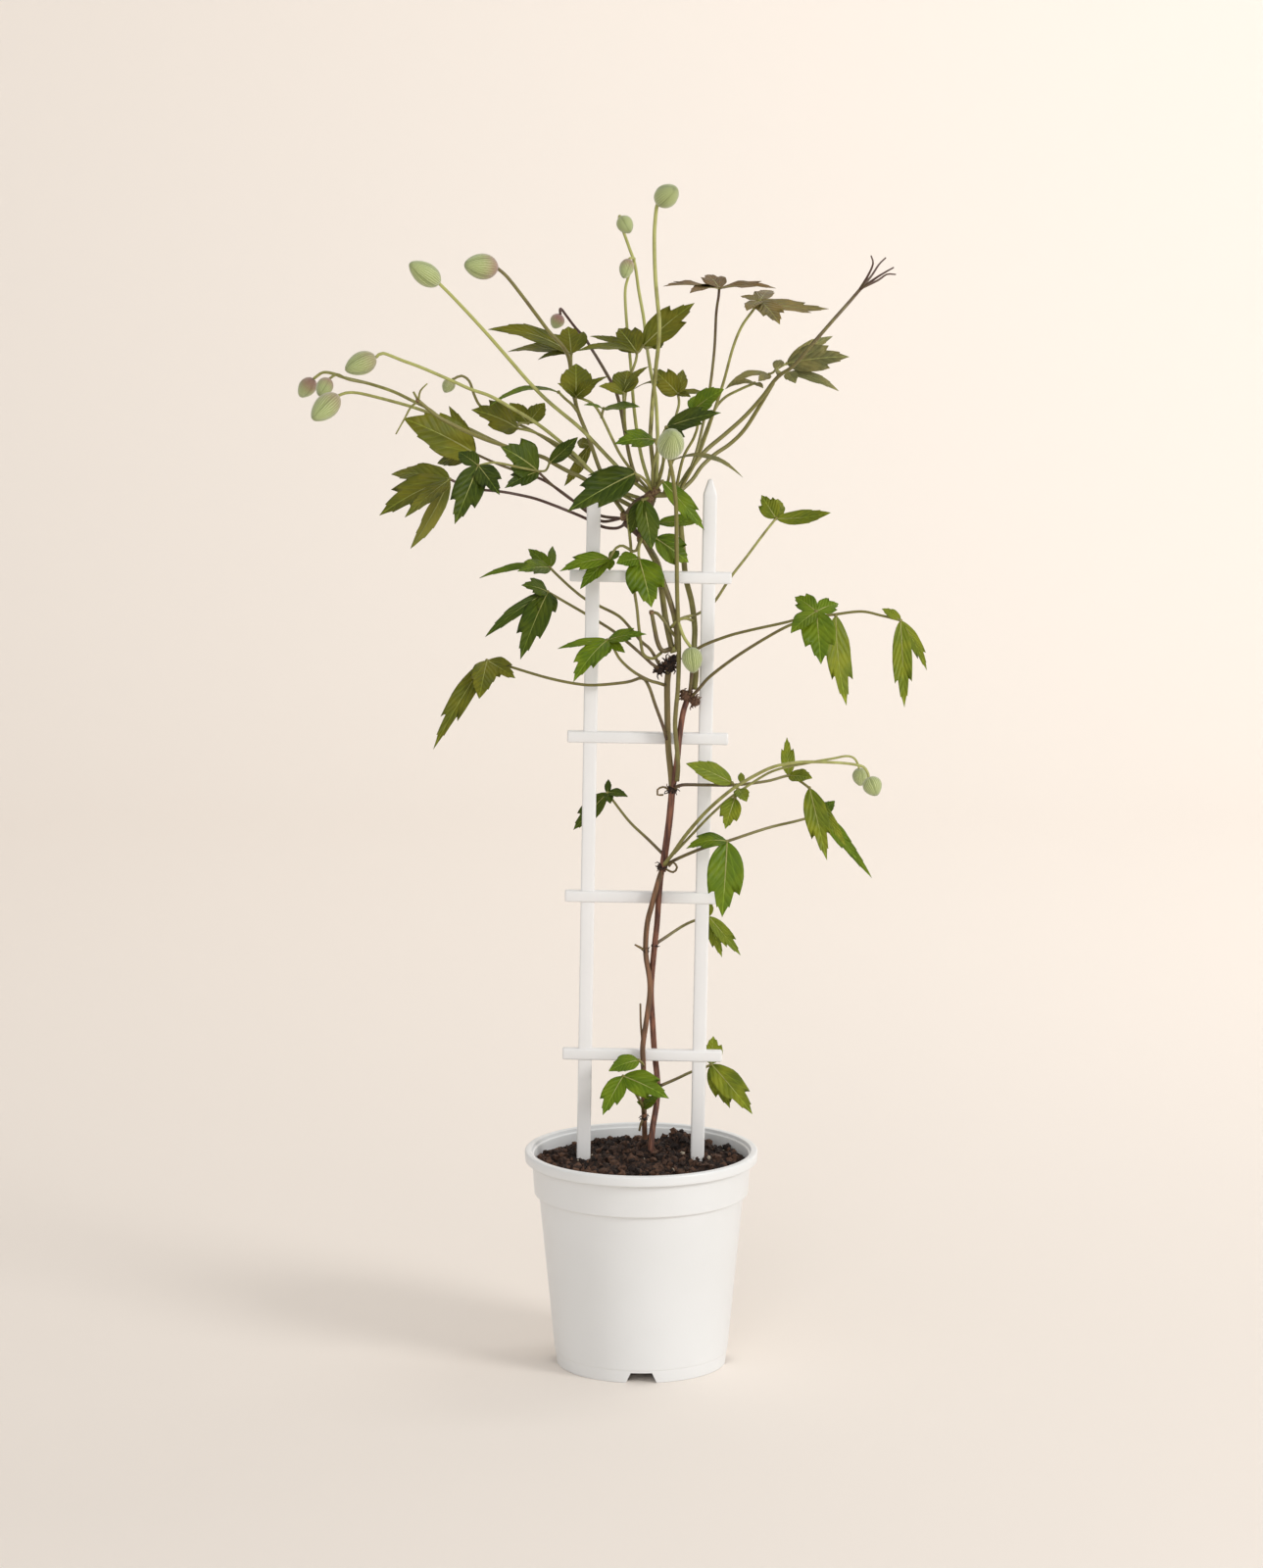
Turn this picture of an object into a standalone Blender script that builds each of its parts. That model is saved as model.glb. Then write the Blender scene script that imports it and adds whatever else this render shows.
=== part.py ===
"""A potted clematis on a white ladder trellis: pot, soil, trellis, stems, leaves and flower buds.

Metres, +Z up, the viewer towards -Y. The origin is on the floor, under the middle of the whole
plant.
"""

import math

import bmesh
import bpy
from mathutils import Matrix, Vector

MM = 0.001
GAP = 0.35 * MM

# The pot is a plain nursery container, 17 cm across its rim.
RIM_RADIUS = 85 * MM
POT_HEIGHT = 159 * MM
FOOT_RADIUS = 62.3 * MM
WALL = 2 * MM
LIP_HEIGHT = 7.6 * MM
BAND_RADIUS = 79.6 * MM
BAND_FOOT_RADIUS = 78 * MM
STEP_HEIGHT = 127 * MM
STEP_RADIUS = 74.6 * MM
FLOOR_HEIGHT = 10 * MM
NOTCH_COUNT = 4
NOTCH_WIDTH = 23.4 * MM
NOTCH_TOP_WIDTH = 15.5 * MM
NOTCH_HEIGHT = 7.6 * MM
FOOT_WIDTH = 6 * MM
DRAIN_COUNT = 5
DRAIN_RADIUS = 4.5 * MM
DRAIN_CIRCLE = 36 * MM
TURNED_SIDES = 32

# The soil fills the pot to just under the rim and is heaped round the stems.
SOIL_HEIGHT = 148 * MM
SOIL_HEAP = 9 * MM
SOIL_CLOD = 12 * MM
SOIL_LUMP = 2.2 * MM
SOIL_RINGS = [11 * MM, 24 * MM, 37 * MM, 50 * MM, 64 * MM]

# The trellis is one moulding: two pointed uprights and four rungs.
TRELLIS_LENGTH = 600 * MM
TRELLIS_FOOT = 51 * MM
TRELLIS_LEAN = math.radians(0.97)
UPRIGHT_SPACING = 83 * MM
UPRIGHT_WIDTH = 10 * MM
UPRIGHT_DEPTH = 7 * MM
POINT_LENGTH = 11 * MM
RUNG_LENGTH = 116 * MM
RUNG_HEIGHT = 8.3 * MM
RUNG_DEPTH = 7.2 * MM
RUNG_PROUD = 1.25 * MM
RUNG_PITCH = 116.8 * MM
RUNG_COUNT = 4
TOP_RUNG_DROP = 70.8 * MM
TRELLIS_SHIFT = -3.2 * MM
CHAMFER = 1.4 * MM

# The plant was measured off a photograph. This is the photograph's own view: its camera's distance
# and height, how far it looks down, and its focal length and middle in pixels.
VIEW_AWAY = 3.87
VIEW_HEIGHT = 1.11
VIEW_ASIDE = -7.1 * MM
VIEW_PITCH = math.radians(9.977)
VIEW_FOCAL = 5562
VIEW_MIDDLE = (644.5, 800)
# The stems stand at this pixel column and the crown at this row. Away from them, depths grow.
STEM_LINE = 675
STEM_ROOM = 35
CROWN_LINE = 500
SPREAD_REACH = 260
MOST_SPREAD = 0.9

# The origin lies under the middle of the plant's own box, this far from the pot's middle.
PLANT_MIDDLE = Vector((-20.94, 2.44, 0)) * MM

BLADE = 0.7 * MM
HUB_RADIUS = 1.8 * MM

# Half outlines of a leaflet, from its foot to its tip: how far along the midrib the row sits, how
# far along its edge points sit, and their distance from the midrib as a share of half the width.
OUTLINES = {
    "plain": [(0, 0, 0), (0.22, 0.18, 0.76), (0.46, 0.44, 1), (0.73, 0.75, 0.64), (1, 1, 0)],
    "lobed": [(0, 0, 0), (0.2, 0.17, 0.72), (0.4, 0.4, 1), (0.56, 0.7, 0.8), (0.7, 0.68, 0.48), (1, 1, 0)],
    "small_lobed": [(0, 0, 0), (0.34, 0.3, 1), (0.56, 0.7, 0.84), (0.7, 0.68, 0.5), (1, 1, 0)],
}
# Narrower leaflets than these have fewer points along the edge, and no crease along the midrib.
LARGE_WIDTH = 18
CREASED_WIDTH = 12.5

# Routes below are points (across, down, toward): two pixels of the photograph, and how many
# millimetres the point stands in front of the pot's middle. Each route also has its radii in mm.
WOODY_STEMS = {
    "dark": ([(664, 1212, 4), (664, 1180, 4), (666, 1152, 2), (670, 1127, -3), (671, 1105, -7),
              (669, 1083, -9.5), (667.5, 1068, -9.5), (666, 1043, -7), (664.5, 1017, -2), (665, 998, 3),
              (668, 966, 8), (670.5, 943, 9.5), (672, 921, 9.5), (674, 898, 8), (676, 885, 8)], 2.3, 2.1),
    "light": ([(658, 1208, -6), (658, 1165, -5), (657.5, 1141, -1), (656.8, 1119, 4), (656.7, 1090, 8),
               (656, 1068, 8.5), (659.5, 1043, 9), (663, 1017, 8), (663, 999, 8), (659, 972, 8),
               (660.5, 943, 10.5), (666, 921, 12.5), (672, 899, 11), (676, 887, 8)], 2, 2),
    "trunk": ([(676, 889, 8), (679.4, 865, 8), (682.8, 840, 9), (685, 818, 10), (686, 804, 10)], 2.7, 2.5),
    "olive": ([(686, 806, 10), (684.5, 787, 10), (682.3, 765, 10), (681.4, 742, 10), (681, 720, 9),
               (681, 697, 8), (683, 680, 8)], 2.3, 2.3),
    "brown": ([(686, 806, 10), (690.6, 780, 12), (693.3, 753, 11), (697, 728, 10), (702, 712, 9)], 2.3, 2.1),
    "dead_twig": ([(656, 1070, 8), (654, 1045, 8), (653.5, 1024, 8)], 0.9, 0.7),
    "dead_stub": ([(657.5, 1140, -1), (654, 1147, 1), (652.5, 1154, 1)], 1.2, 0.7),
    "leaf_stub": ([(659, 970, 8), (653.5, 967, 10), (648, 964, 12)], 1.2, 0.6),
    "low_tendril": ([(678, 886, 8), (687, 890, 13), (691, 885, 15), (687, 880, 15), (683, 884, 12)], 0.8, 0.8),
    "high_tendril": ([(685, 807, 10), (677, 803, 14), (671, 806, 16), (671, 811, 16), (677, 811, 15)], 0.8, 0.7),
}
STANDING_STEMS = ("dark", "light")
# Knots are lumps on the woody stems, each with its radius in mm.
KNOTS = [(676, 885, 8, 4), (686, 806, 10, 4.2), (657.5, 1141, -1, 3), (671.5, 1108, -6, 3),
         (659, 970, 8, 2.8), (668, 965, 8, 2.8), (683, 680, 8, 6), (673, 683, 8.5, 5),
         (688, 673, 8, 4), (700, 710, 9, 5.6), (709, 716, 10, 4.6)]

# The upper stalks grow together in the crown, and carry the crown's leaves and buds.
STALKS = {
    "twin_left": ([(686, 663, 9), (683, 650, 8), (679, 630, 3), (676, 608, -5), (674, 594, -9.5),
                   (673, 582, -9.5), (670, 572, -5), (663, 560, 4), (655, 548, 10)], 2, 1.8),
    "twin_front": ([(691, 662, 10), (690.5, 644, 12.5), (688, 628, 13), (683, 611, 13), (677.7, 596, 12),
                    (671, 577, 11.5), (663, 562, 11), (655, 547, 11)], 1.8, 1.7),
    "twin_link": ([(684, 664, 9), (690, 662, 10)], 2, 2),
    "cut_stem": ([(708.5, 703.5, 5), (710, 690, 4.5), (710, 680, 4), (708.5, 660, 0), (709, 640, -5), (706, 615, -9.5),
                  (701, 595, -11), (699, 583, -11), (697, 560, -9), (695, 540, -8), (694.5, 525, -8)], 1.9, 1.7),
    "cut_hook": ([(694.5, 526, -8), (697.5, 523, -8), (701, 520, -8)], 0.8, 0.5),
    "cut_link": ([(708.5, 634, -6), (700, 631, 7), (692, 633, 16), (685, 640, 12)], 1, 1),
    "bud_12": ([(691, 797, 14.5), (692, 783, 15.5), (691, 765, 17), (689, 742, 17.5), (690, 722, 18),
                (692, 700, 18), (693, 660, 18), (692, 632, 16),
             (691, 600, 16), (690.6, 560, 20), (690, 518, 30), (687, 488, 42), (683, 468, 49)], 1.5, 1.2),
    "red_node": ([(685, 662, 10), (676, 664, 13), (671, 655, 13.5), (668, 641, 13.5), (665, 625, 13)], 1.7, 1.2),
    "red_branch": ([(665, 625, 13), (671, 626, 13), (678, 634, 13), (685, 644, 12.5), (690, 650, 12.5)], 1, 1),
    "left_thread": ([(675, 666, 11), (666, 672, 19), (657, 668, 23), (654, 656, 20), (652, 640, 18),
                     (650, 620, 15), (647, 600, 11.5), (645, 580, 9), (644, 560, 9), (642, 540, 9),
                     (640, 524, 8)], 1, 0.9),
    "crown": ([(654, 553, 11), (658, 536, 13), (662, 520, 14), (666, 507, 15)], 2.6, 2.4),
    "crown_left": ([(637, 533, 2), (647, 541, 6), (655, 548, 10)], 2, 2),
    "crown_fork": ([(640, 524, 7), (650, 512, 11), (664, 506, 14)], 1.8, 2),
    "left_shoot": ([(645, 517, 8), (620, 503, -4), (595, 488, -13), (580, 481, -14), (567, 474, -14),
                    (553, 466, -14), (530, 461, -10), (515, 455, -3), (497, 449, 7), (480, 442, 15),
                    (465, 435, 20), (450, 427, 23), (440, 420, 23), (426, 408, 23)], 1.5, 1.1),
    "left_shoot_up": ([(427, 409, 23), (429, 399, 25), (436, 391.5, 27)], 0.8, 0.4),
    "left_shoot_down": ([(427, 409, 23), (419, 416, 23), (413, 427, 23), (404, 443, 22)], 0.8, 0.4),
    "left_shoot_side": ([(427, 409, 23), (422, 400, 20)], 0.9, 0.6),
    "bud_1": ([(664, 505, 15), (640, 486, 4), (624, 470, -1), (607, 452, -3), (590, 435, -4),
               (560, 410, -4), (540, 390, -2), (520, 367, 4), (500, 344, 10), (480, 322, 16),
               (462, 303, 22), (449, 290, 26)], 1.4, 1),
    "bud_2": ([(636, 522, 5), (621, 500, -8), (611, 476, -15), (604, 456, -16), (598, 440, -17),
               (590, 420, -20), (585, 400, -25), (583, 382, -27), (580, 364, -22), (573, 352, -16),
               (560, 338, -12), (548, 322, -8), (533, 302, -4), (518, 283, -1), (508, 274, 0)], 1.5, 1),
    "bud_3": ([(662, 511, 14), (640, 504, 5), (620, 495, -5), (605, 483, -8), (590, 467, -9),
               (572, 451, -9), (556, 438, -8), (540, 427, -7), (520, 415, -5), (500, 404, -2),
               (480, 397, 1), (460, 388, 4), (430, 375, 7), (411, 368, 8), (391, 360.5, 9),
               (384.5, 364, 9)], 1.3, 1),
    "bud_4": ([(451, 428, 23), (437, 417, 18), (420, 408.5, 13), (400, 399, 8), (375, 391, 3),
               (350, 385, -2), (341, 381.5, -4), (330, 380, -8), (322, 385, -10)], 1.1, 0.9),
    "bud_5": ([(375, 391, 3), (355, 387, 6), (344, 382, 9), (337, 386, 10)], 0.9, 0.8),
    "bud_6": ([(519, 457, -5), (500, 448, -12), (475, 436, -14), (445, 424, -10), (420, 415, -3),
               (387, 406, 6), (365, 401, 14), (353, 401, 18), (346, 403.5, 20)], 1.2, 0.9),
    "bud_7": ([(655, 515, 12), (630, 502, 0), (604, 482, -14), (584, 468, -22), (560, 450, -32),
               (540, 438, -38), (515, 427, -42), (500, 419, -42), (490, 414, -42), (484, 403, -41),
               (479, 389, -40), (471, 383.5, -39), (463.5, 386.5, -38)], 1.1, 0.8),
    "bud_8": ([(650, 492, 8), (643, 468, 0), (638, 442, -8), (633, 415, -13), (628, 398, -17),
               (620, 383, -25), (610, 366, -38), (603, 355, -48), (597, 345, -54), (587, 334, -58),
               (578, 322, -59), (573, 315.5, -57), (571.5, 316, -54.5)], 1.3, 0.8),
    "bud_9": ([(669, 500, 15), (666, 470, 9), (664, 450, 5), (664, 440, 3), (666, 410, 1),
               (668, 390, 2), (670, 370, 4), (672, 352, 6), (673, 330, 8), (671, 308, 8), (669, 285, 6),
               (668, 260, 4), (668, 235, 2), (670, 212, 0), (671.5, 207, 0)], 1.4, 1.1),
    "bud_10": ([(670, 492, 14), (671, 460, 10), (671, 440, 8), (669, 405, -10), (664, 378, -24),
                (660, 352, -42), (657, 325, -52), (652, 297, -52), (648, 270, -48), (643, 255, -47),
                (638, 241, -47.5), (634, 230, -46.5), (632, 222.5, -43.5), (632.5, 220.5, -40)], 1.2, 0.9),
    "bud_11": ([(666, 502, 14), (657, 475, 6), (653, 458, 0), (650, 440, -8), (647.5, 420, -15),
                (646, 404, -21), (643.5, 370, -30), (640, 335, -36), (638, 300, -38), (640.5, 285, -40),
                (645, 273, -41), (647.5, 264, -39), (643, 263.5, -36)], 1.2, 0.8),
    "bud_13": ([(692, 634, 16), (697, 648, 20), (701, 655, 23), (704, 659, 24)], 1.1, 1),
    "right_shoot": ([(688, 503, 13), (694, 495, 9), (705, 478, 4), (720, 460, -2), (740, 443, -6),
                     (760, 425, -8), (778, 405, -6), (789, 390, -2), (797, 382, 1), (810, 373, 5),
                     (830, 350, 7), (850, 327, 5), (866, 309, 1), (878, 295, -4)], 1.5, 1),
    "right_shoot_twin": ([(690, 505, 11), (706, 490, 1), (716, 476, -7), (729, 464, -12), (745, 453, -15),
                          (760, 438, -14), (776, 413, -10), (789, 391, -3)], 1.4, 1.2),
    "crown_right": ([(666, 505, 15), (678, 505, 15), (690, 504, 12)], 2, 1.6),
    "prong_1": ([(877, 296, -4), (886, 281, -2), (891, 269, 0), (889, 261, 2)], 0.95, 0.4),
    "prong_2": ([(877, 296, -4), (889, 282, -8), (897, 270, -10), (904, 263, -12)], 0.95, 0.4),
    "prong_3": ([(877, 296, -4), (892, 285, 1), (903, 278, 5), (912, 273, 9)], 0.95, 0.4),
    "prong_4": ([(879, 294, -4), (896, 286, -7), (905, 280, -9), (914, 280, -12)], 0.95, 0.4),
}
# Swellings where stalks meet, each with its radius in mm.
CROWN_NODES = [(655, 549, 10.5, 4.6), (663, 508, 14, 5.2), (669, 501, 14.5, 4.6), (638, 527, 4, 4.4),
               (665, 625, 13, 2.2), (426, 409, 23, 1.8), (690, 504, 12, 2.6)]


def leaflet(tip, width, turn, lift, arch, outline="plain"):
    """One blade: its tip's place, width in mm, the way its upper face looks in degrees (turned to
    the viewer's right, lifted to the sky), how far it arches in mm, and its outline."""
    return {"tip": tip, "width": width, "turn": turn, "lift": lift, "arch": arch, "outline": outline}


# Each leaf has the route of its stalk, how much of that route is left off where it meets the stem
# in mm, further stalks, and its fans: the point where leaflets meet, and those leaflets.
# A leaf with a cut of None grows from the end of a stalk that belongs to the crown.
LEAVES = {
    "leaf_left_low": {
        "stalk": [(638, 535, 2), (629, 539, -5), (615, 537.5, -9), (600, 530, -10), (579, 521, -4),
                  (550, 510, 4), (530, 505, 9), (510, 501.5, 13), (485, 499, 17), (470, 494, 19)],
        "cut": None,
        "fans": [((459, 489, 20), [
            leaflet((387, 526, 36), 27, -10, 45, 4, "lobed"),
            leaflet((399, 484, 2), 20, 0, 50, 3),
            leaflet((413, 528, 52), 12, 0, 40, 2),
            leaflet((419, 560, 24), 13, 150, -10, 3)])]},
    "leaf_left_grey": {
        "stalk": [(638, 528, 4), (615, 532, -12), (600, 523, -16), (580, 507, -14), (560, 493, -9),
                  (545, 486, -9), (520, 478, -5), (500, 470, 0)],
        "cut": None,
        "fans": [((485, 463, 2), [
            leaflet((412, 427, 14), 30, -5, 30, 4),
            leaflet((446, 473, -12), 14, -10, 30, 2),
            leaflet((458, 414, -16), 10, 0, 20, 1)])]},
    "leaf_left_upper": {
        "stalk": [(600, 479, -15), (585, 465, -24), (572, 455, -28), (556, 446, -29), (542, 440, -28)],
        "cut": None,
        "sprigs": [[(528, 437, -26), (530, 432, -31), (539, 432, -38)]],
        "fans": [((528, 437, -26), [leaflet((481, 418, -14), 25, -5, 40, 3, "lobed")]),
                 ((539, 432, -38), [
                     leaflet((520, 411, -44), 13, 0, 25, 1),
                     leaflet((556, 411, -46), 13, 0, 25, 1)])]},
    "leaf_left_dark": {
        "stalk": [(634, 529, 0), (614, 526.5, -9), (600, 519, -10), (585, 511, -6), (566, 497, 4),
                  (555, 487, 10)],
        "cut": None,
        "sprigs": [[(549, 481, 12), (530, 477, 26), (505, 472, 37), (488, 475, 40)],
                   [(549, 481, 12), (557, 480, 5), (561, 472, -2)]],
        "fans": [((549, 481, 12), [
                     leaflet((511, 456, 20), 28, 5, 30, 3, "lobed"),
                     leaflet((515, 498, 30), 14, 0, 35, 2, "lobed")]),
                 ((488, 475, 40), [
                     leaflet((464, 535, 58), 21, 10, 25, 3, "lobed"),
                     leaflet((510, 505, 56), 17, 0, 30, 2, "lobed"),
                     leaflet((468, 461, 30), 13, 0, 40, 1)]),
                 ((561, 472, -2), [leaflet((590, 446, -3), 11, 20, 10, 1)])]},
    "leaf_left_curved": {
        "stalk": [(590, 421, -20), (584, 413, -19), (577, 407, -19)],
        "cut": None,
        "fans": [((570, 400, -20), [leaflet((498, 416, -8), 9, 0, 75, 8)])]},
    "leaf_left_big": {
        "stalk": [(665, 500, 17), (660, 492, 23), (655, 487, 26)],
        "cut": None,
        "fans": [((648, 483, 28), [
            leaflet((579, 522, 48), 25, 5, 30, 4, "lobed"),
            leaflet((600, 485, 12), 13, 0, 60, 2)])]},
    "leaf_left_olive": {
        "stalk": [(611, 477, -16), (607, 466, -22)],
        "cut": None,
        "fans": [((602, 454, -27), [
            leaflet((589, 451, -40), 8, 0, 10, 1),
            leaflet((576, 496, -37), 10, 30, 0, 1)])]},
    "leaf_top_left": {
        "stalk": [(590, 421, -21), (587, 405, -31), (584, 385, -39), (583, 370, -41)],
        "cut": None,
        "fans": [((583, 361, -40), [
            leaflet((498, 336, -30), 18, -5, 58, 7),
            leaflet((518, 359, -58), 13, 0, 62, 4),
            leaflet((549, 367, -32), 6, 0, 60, 3),
            leaflet((580, 333, -46), 25, 0, 35, 2, "lobed")])]},
    "leaf_top_mid": {
        "stalk": [(640, 452, -4), (637.5, 430, -6), (638, 405, -9), (643, 385, -10), (649, 368, -11)],
        "cut": None,
        "sprigs": [[(650, 360, -11), (653, 358, -15), (656, 353, -19)],
                   [(656, 353, -19), (660, 356, -24), (664, 354, -28)]],
        "fans": [((650, 360, -11), [
                     leaflet((589, 358, 2), 12, 0, 70, 4),
                     leaflet((631, 335, -22), 22, 0, 35, 2, "lobed"),
                     leaflet((602, 343, -24), 9, 0, 65, 3)]),
                 ((656, 353, -19), [leaflet((709, 309, -28), 22, -10, 25, 3, "lobed")]),
                 ((664, 354, -28), [leaflet((678, 348, -30), 9, 0, 30, 1)])]},
    "leaf_mid_left": {
        "stalk": [(665, 503, 14), (653, 490, 9), (640, 474, 5), (632, 462, 4), (625, 448, 4), (614, 425, 3),
                  (606, 413, 2), (597, 408, 1)],
        "cut": None,
        "fans": [((588, 405, 0), [
            leaflet((588, 371, -12), 23, 0, 30, 2),
            leaflet((569, 391, 6), 8, 0, 40, 2),
            leaflet((613, 386, 10), 11, 10, 30, 2),
            leaflet((621, 384, -8), 6, 0, 60, 3)])]},
    "leaf_mid": {
        "stalk": [(640, 452, -4), (638, 435, 4), (637, 418, 10), (636.5, 408, 16)],
        "cut": None,
        "fans": [((636, 401, 22), [
            leaflet((641, 378, 8), 19, 0, 35, 2),
            leaflet((611, 394, 30), 9, 0, 40, 2),
            leaflet((662, 374, 14), 6, 0, 60, 4)])]},
    "leaf_flat": {
        "stalk": [(614, 426, 3), (614.5, 422, 9)],
        "cut": None,
        "fans": [((616, 417, 15), [
            leaflet((596, 413, 20), 6, 0, 70, 1),
            leaflet((653, 415, 34), 12, 0, 60, 1)])]},
    "leaf_mid_low": {
        "stalk": [(666, 502, 14), (666, 480, 18), (669, 466, 22), (671, 457, 27)],
        "cut": None,
        "fans": [((668, 449, 30), [leaflet((627, 453, 42), 17, 0, 45, 3, "lobed")])]},
    "leaf_mid_right": {
        "stalk": [(669, 502, 14), (676, 475, 3), (681, 458, -7), (686, 440, -15), (690, 424, -21),
                  (693, 412, -22)],
        "cut": None,
        "fans": [((692, 402, -22), [
            leaflet((666, 376, -12), 17, 0, 20, 2, "lobed"),
            leaflet((697, 377, -36), 10, 10, 20, 1),
            leaflet((705, 405, -12), 6, 0, 40, 1),
            leaflet((644, 400, -40), 7, 0, 75, 8),
            leaflet((722, 402, -34), 7, 0, 60, 2)])]},
    "leaf_right_up": {
        "stalk": [(689, 504, 12), (697, 468, 14), (708, 447, 18), (712, 432, 24)],
        "cut": None,
        "fans": [((707, 419, 30), [
            leaflet((739, 397, 38), 16, -10, 30, 2),
            leaflet((709, 404, 20), 9, 0, 40, 1)])]},
    "leaf_right_mid": {
        "stalk": [(671, 496, 14), (676, 478, 22), (677, 462, 30), (675, 448, 37)],
        "cut": None,
        "fans": [((680, 436, 41), [
            leaflet((736, 421, 50), 17, -5, 40, 2, "lobed"),
            leaflet((699, 446, 56), 9, 0, 20, 1)])]},
    "leaf_right_narrow": {
        "stalk": [(677, 505, 15), (682, 490, 16), (684, 478, 23)],
        "cut": None,
        "fans": [((687, 469, 30), [leaflet((758, 487, 44), 8, 0, 75, 9)])]},
    "leaf_umbrella": {
        "stalk": [(690, 504, 12), (703, 482, 6), (711, 460, 0), (717, 435, -5), (724, 400, -7),
                  (729, 358, -8), (731, 320, -7), (733.5, 302, -5)],
        "cut": None,
        "fans": [((734, 294, -5), [
            leaflet((677, 292, 14), 20, 0, 85, 2, "lobed"),
            leaflet((704, 299, 24), 14, 0, 80, 2),
            leaflet((722, 280, -27), 17, 0, 78, 1, "lobed"),
            leaflet((792, 294, 2), 18, 0, 80, 2, "lobed")])]},
    "leaf_umbrella_right": {
        "stalk": [(692, 504, 11), (710, 471, 10), (721, 443, 12), (730, 416, 14), (739, 388, 16),
                  (748, 355, 18), (757, 333, 19), (769, 316, 20)],
        "cut": None,
        "fans": [((775, 307, 20), [
            leaflet((756, 302, 8), 10, 0, 70, 1),
            leaflet((785, 296, -16), 14, 0, 60, 1),
            leaflet((846, 315, 6), 15, 0, 60, -2, "lobed"),
            leaflet((796, 331, 42), 18, 10, 45, 2, "lobed"),
            leaflet((762, 317, 36), 12, -20, 50, 1)])]},
    "leaf_shoot": {
        "stalk": [(795, 383, 0), (793, 380, -5)],
        "cut": None,
        "sprigs": [[(792, 377, -10), (797, 374, -12), (803, 371, -14)],
                   [(792, 377, -10), (789, 380, -12), (785, 382, -13)],
                   [(792, 377, -10), (798, 381, -11), (804, 380, -12)]],
        "fans": [((792, 377, -10), [leaflet((797, 367, -18), 8, 0, 50, 1)]),
                 ((803, 371, -14), [
                     leaflet((867, 364, -8), 21, -5, 30, 3, "lobed"),
                     leaflet((850, 343, -28), 10, 0, 40, 3)]),
                 ((785, 382, -13), [
                     leaflet((742, 394, -6), 8, 0, 65, 5),
                     leaflet((774, 389, 2), 8, 0, 30, 1)]),
                 ((804, 380, -12), [
                     leaflet((812, 391, -4), 10, 0, 30, 1),
                     leaflet((856, 399, -10), 9, 0, 50, 4)])]},
    "leaf_shoot_side": {
        "stalk": [(694, 501, 8), (711, 464, -10), (722, 436, -18), (730, 417, -21), (740, 405.5, -22),
                  (755, 397.5, -22)],
        "cut": None,
        "fans": [((770, 391, -22), [
            leaflet((740, 397, -20), 7, 0, 60, 4),
            leaflet((779, 396, -16), 5, 0, 60, 1)])]},
    "leaf_right_young": {
        "stalk": [(686, 640, 12), (694, 632, 10), (702, 629, 2), (713, 626, -10), (729, 614, -13),
                  (745, 590, -14), (762, 568, -18), (780, 544, -26)],
        "cut": None,
        "fans": [((792, 529, -30), [
            leaflet((777, 505, -34), 14, -10, 20, 1, "lobed"),
            leaflet((794, 509, -46), 11, 10, 20, 1),
            leaflet((848, 523, -18), 12, 10, 35, -3)])]},
    "leaf_right_big": {
        "stalk": [(703, 712, 9), (705, 697, 13), (707, 675, 13), (712, 662, 12), (740, 650, 14),
                  (766, 643, 18), (806, 634, 30), (825, 627, 38)],
        "cut": 7.5,
        "fans": [((833, 624, 40), [
            leaflet((838, 678, 58), 24, 0, 20, 3, "lobed"),
            leaflet((811, 609, 34), 14, -10, 40, 2, "lobed"),
            leaflet((807, 646, 56), 14, -20, 30, 2),
            leaflet((856, 616, 30), 13, 10, 40, 2, "lobed")])]},
    "leaf_far_right": {
        "stalk": [(704, 713, 9), (714, 702, 14), (725, 690, 14), (750, 671, 16), (780, 652, 18),
                  (806, 638, 18), (830, 630, 16), (852, 627, 15), (879, 624, 16), (899, 628, 18)],
        "cut": 8,
        "fans": [((919, 633, 20), [
                     leaflet((900, 621, 16), 8, 0, 50, 1),
                     leaflet((923, 722, 34), 14, -10, 10, -2, "lobed"),
                     leaflet((946, 684, 14), 9.5, 30, 10, 3, "lobed")]),
                 ((853, 628, 15.5), [leaflet((864, 720, 26), 19, 25, 10, -4, "lobed")])]},
    "leaf_low_left_top": {
        "stalk": [(675, 682, 9), (664, 663, 15), (655, 655, 13), (645, 643, 8), (632, 629, 0),
                  (613, 619, -9), (597, 611, -12), (583, 600, -13), (570, 588, -14)],
        "cut": 7,
        "fans": [((561, 579, -15), [
            leaflet((539, 560, -26), 10, 0, 35, 1),
            leaflet((564, 557, -32), 7, 20, 10, 1),
            leaflet((489, 590, -8), 8, 0, 60, 5),
            leaflet((528, 583, 4), 15, 0, 40, 2, "lobed")])]},
    "leaf_low_left_mid": {
        "stalk": [(675, 683, 9), (666, 678, 16), (655, 668, 15), (640, 655, 14), (626, 644, 2),
                  (612, 635, -9), (597, 626, -11), (578, 615, -6), (566, 608, 2)],
        "cut": 7.5,
        "fans": [((559, 604, 6), [
            leaflet((532, 597, 14), 14, 0, 40, 2, "lobed"),
            leaflet((495, 650, 26), 10, -10, 35, 4),
            leaflet((531, 673, 40), 20, -10, 15, 3, "lobed"),
            leaflet((557, 635, 22), 15, 10, 20, 1, "lobed")])]},
    "leaf_arch": {
        "stalk": [(654, 549, 14), (649, 562, 16), (643, 561, 14), (636, 557, 13), (629, 559, 12)],
        "cut": None,
        "fans": [((622, 570, 12), [
            leaflet((571, 583, 20), 14, 0, 40, 4, "lobed"),
            leaflet((592, 601, 26), 12, -20, 25, 2),
            leaflet((632, 562, 6), 7, 0, 30, 0.5),
            leaflet((622, 582, 18), 8, 0, 30, 0.5)])]},
    "leaf_center_big": {
        "stalk": [(655, 549, 14), (652, 559, 19)],
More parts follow.
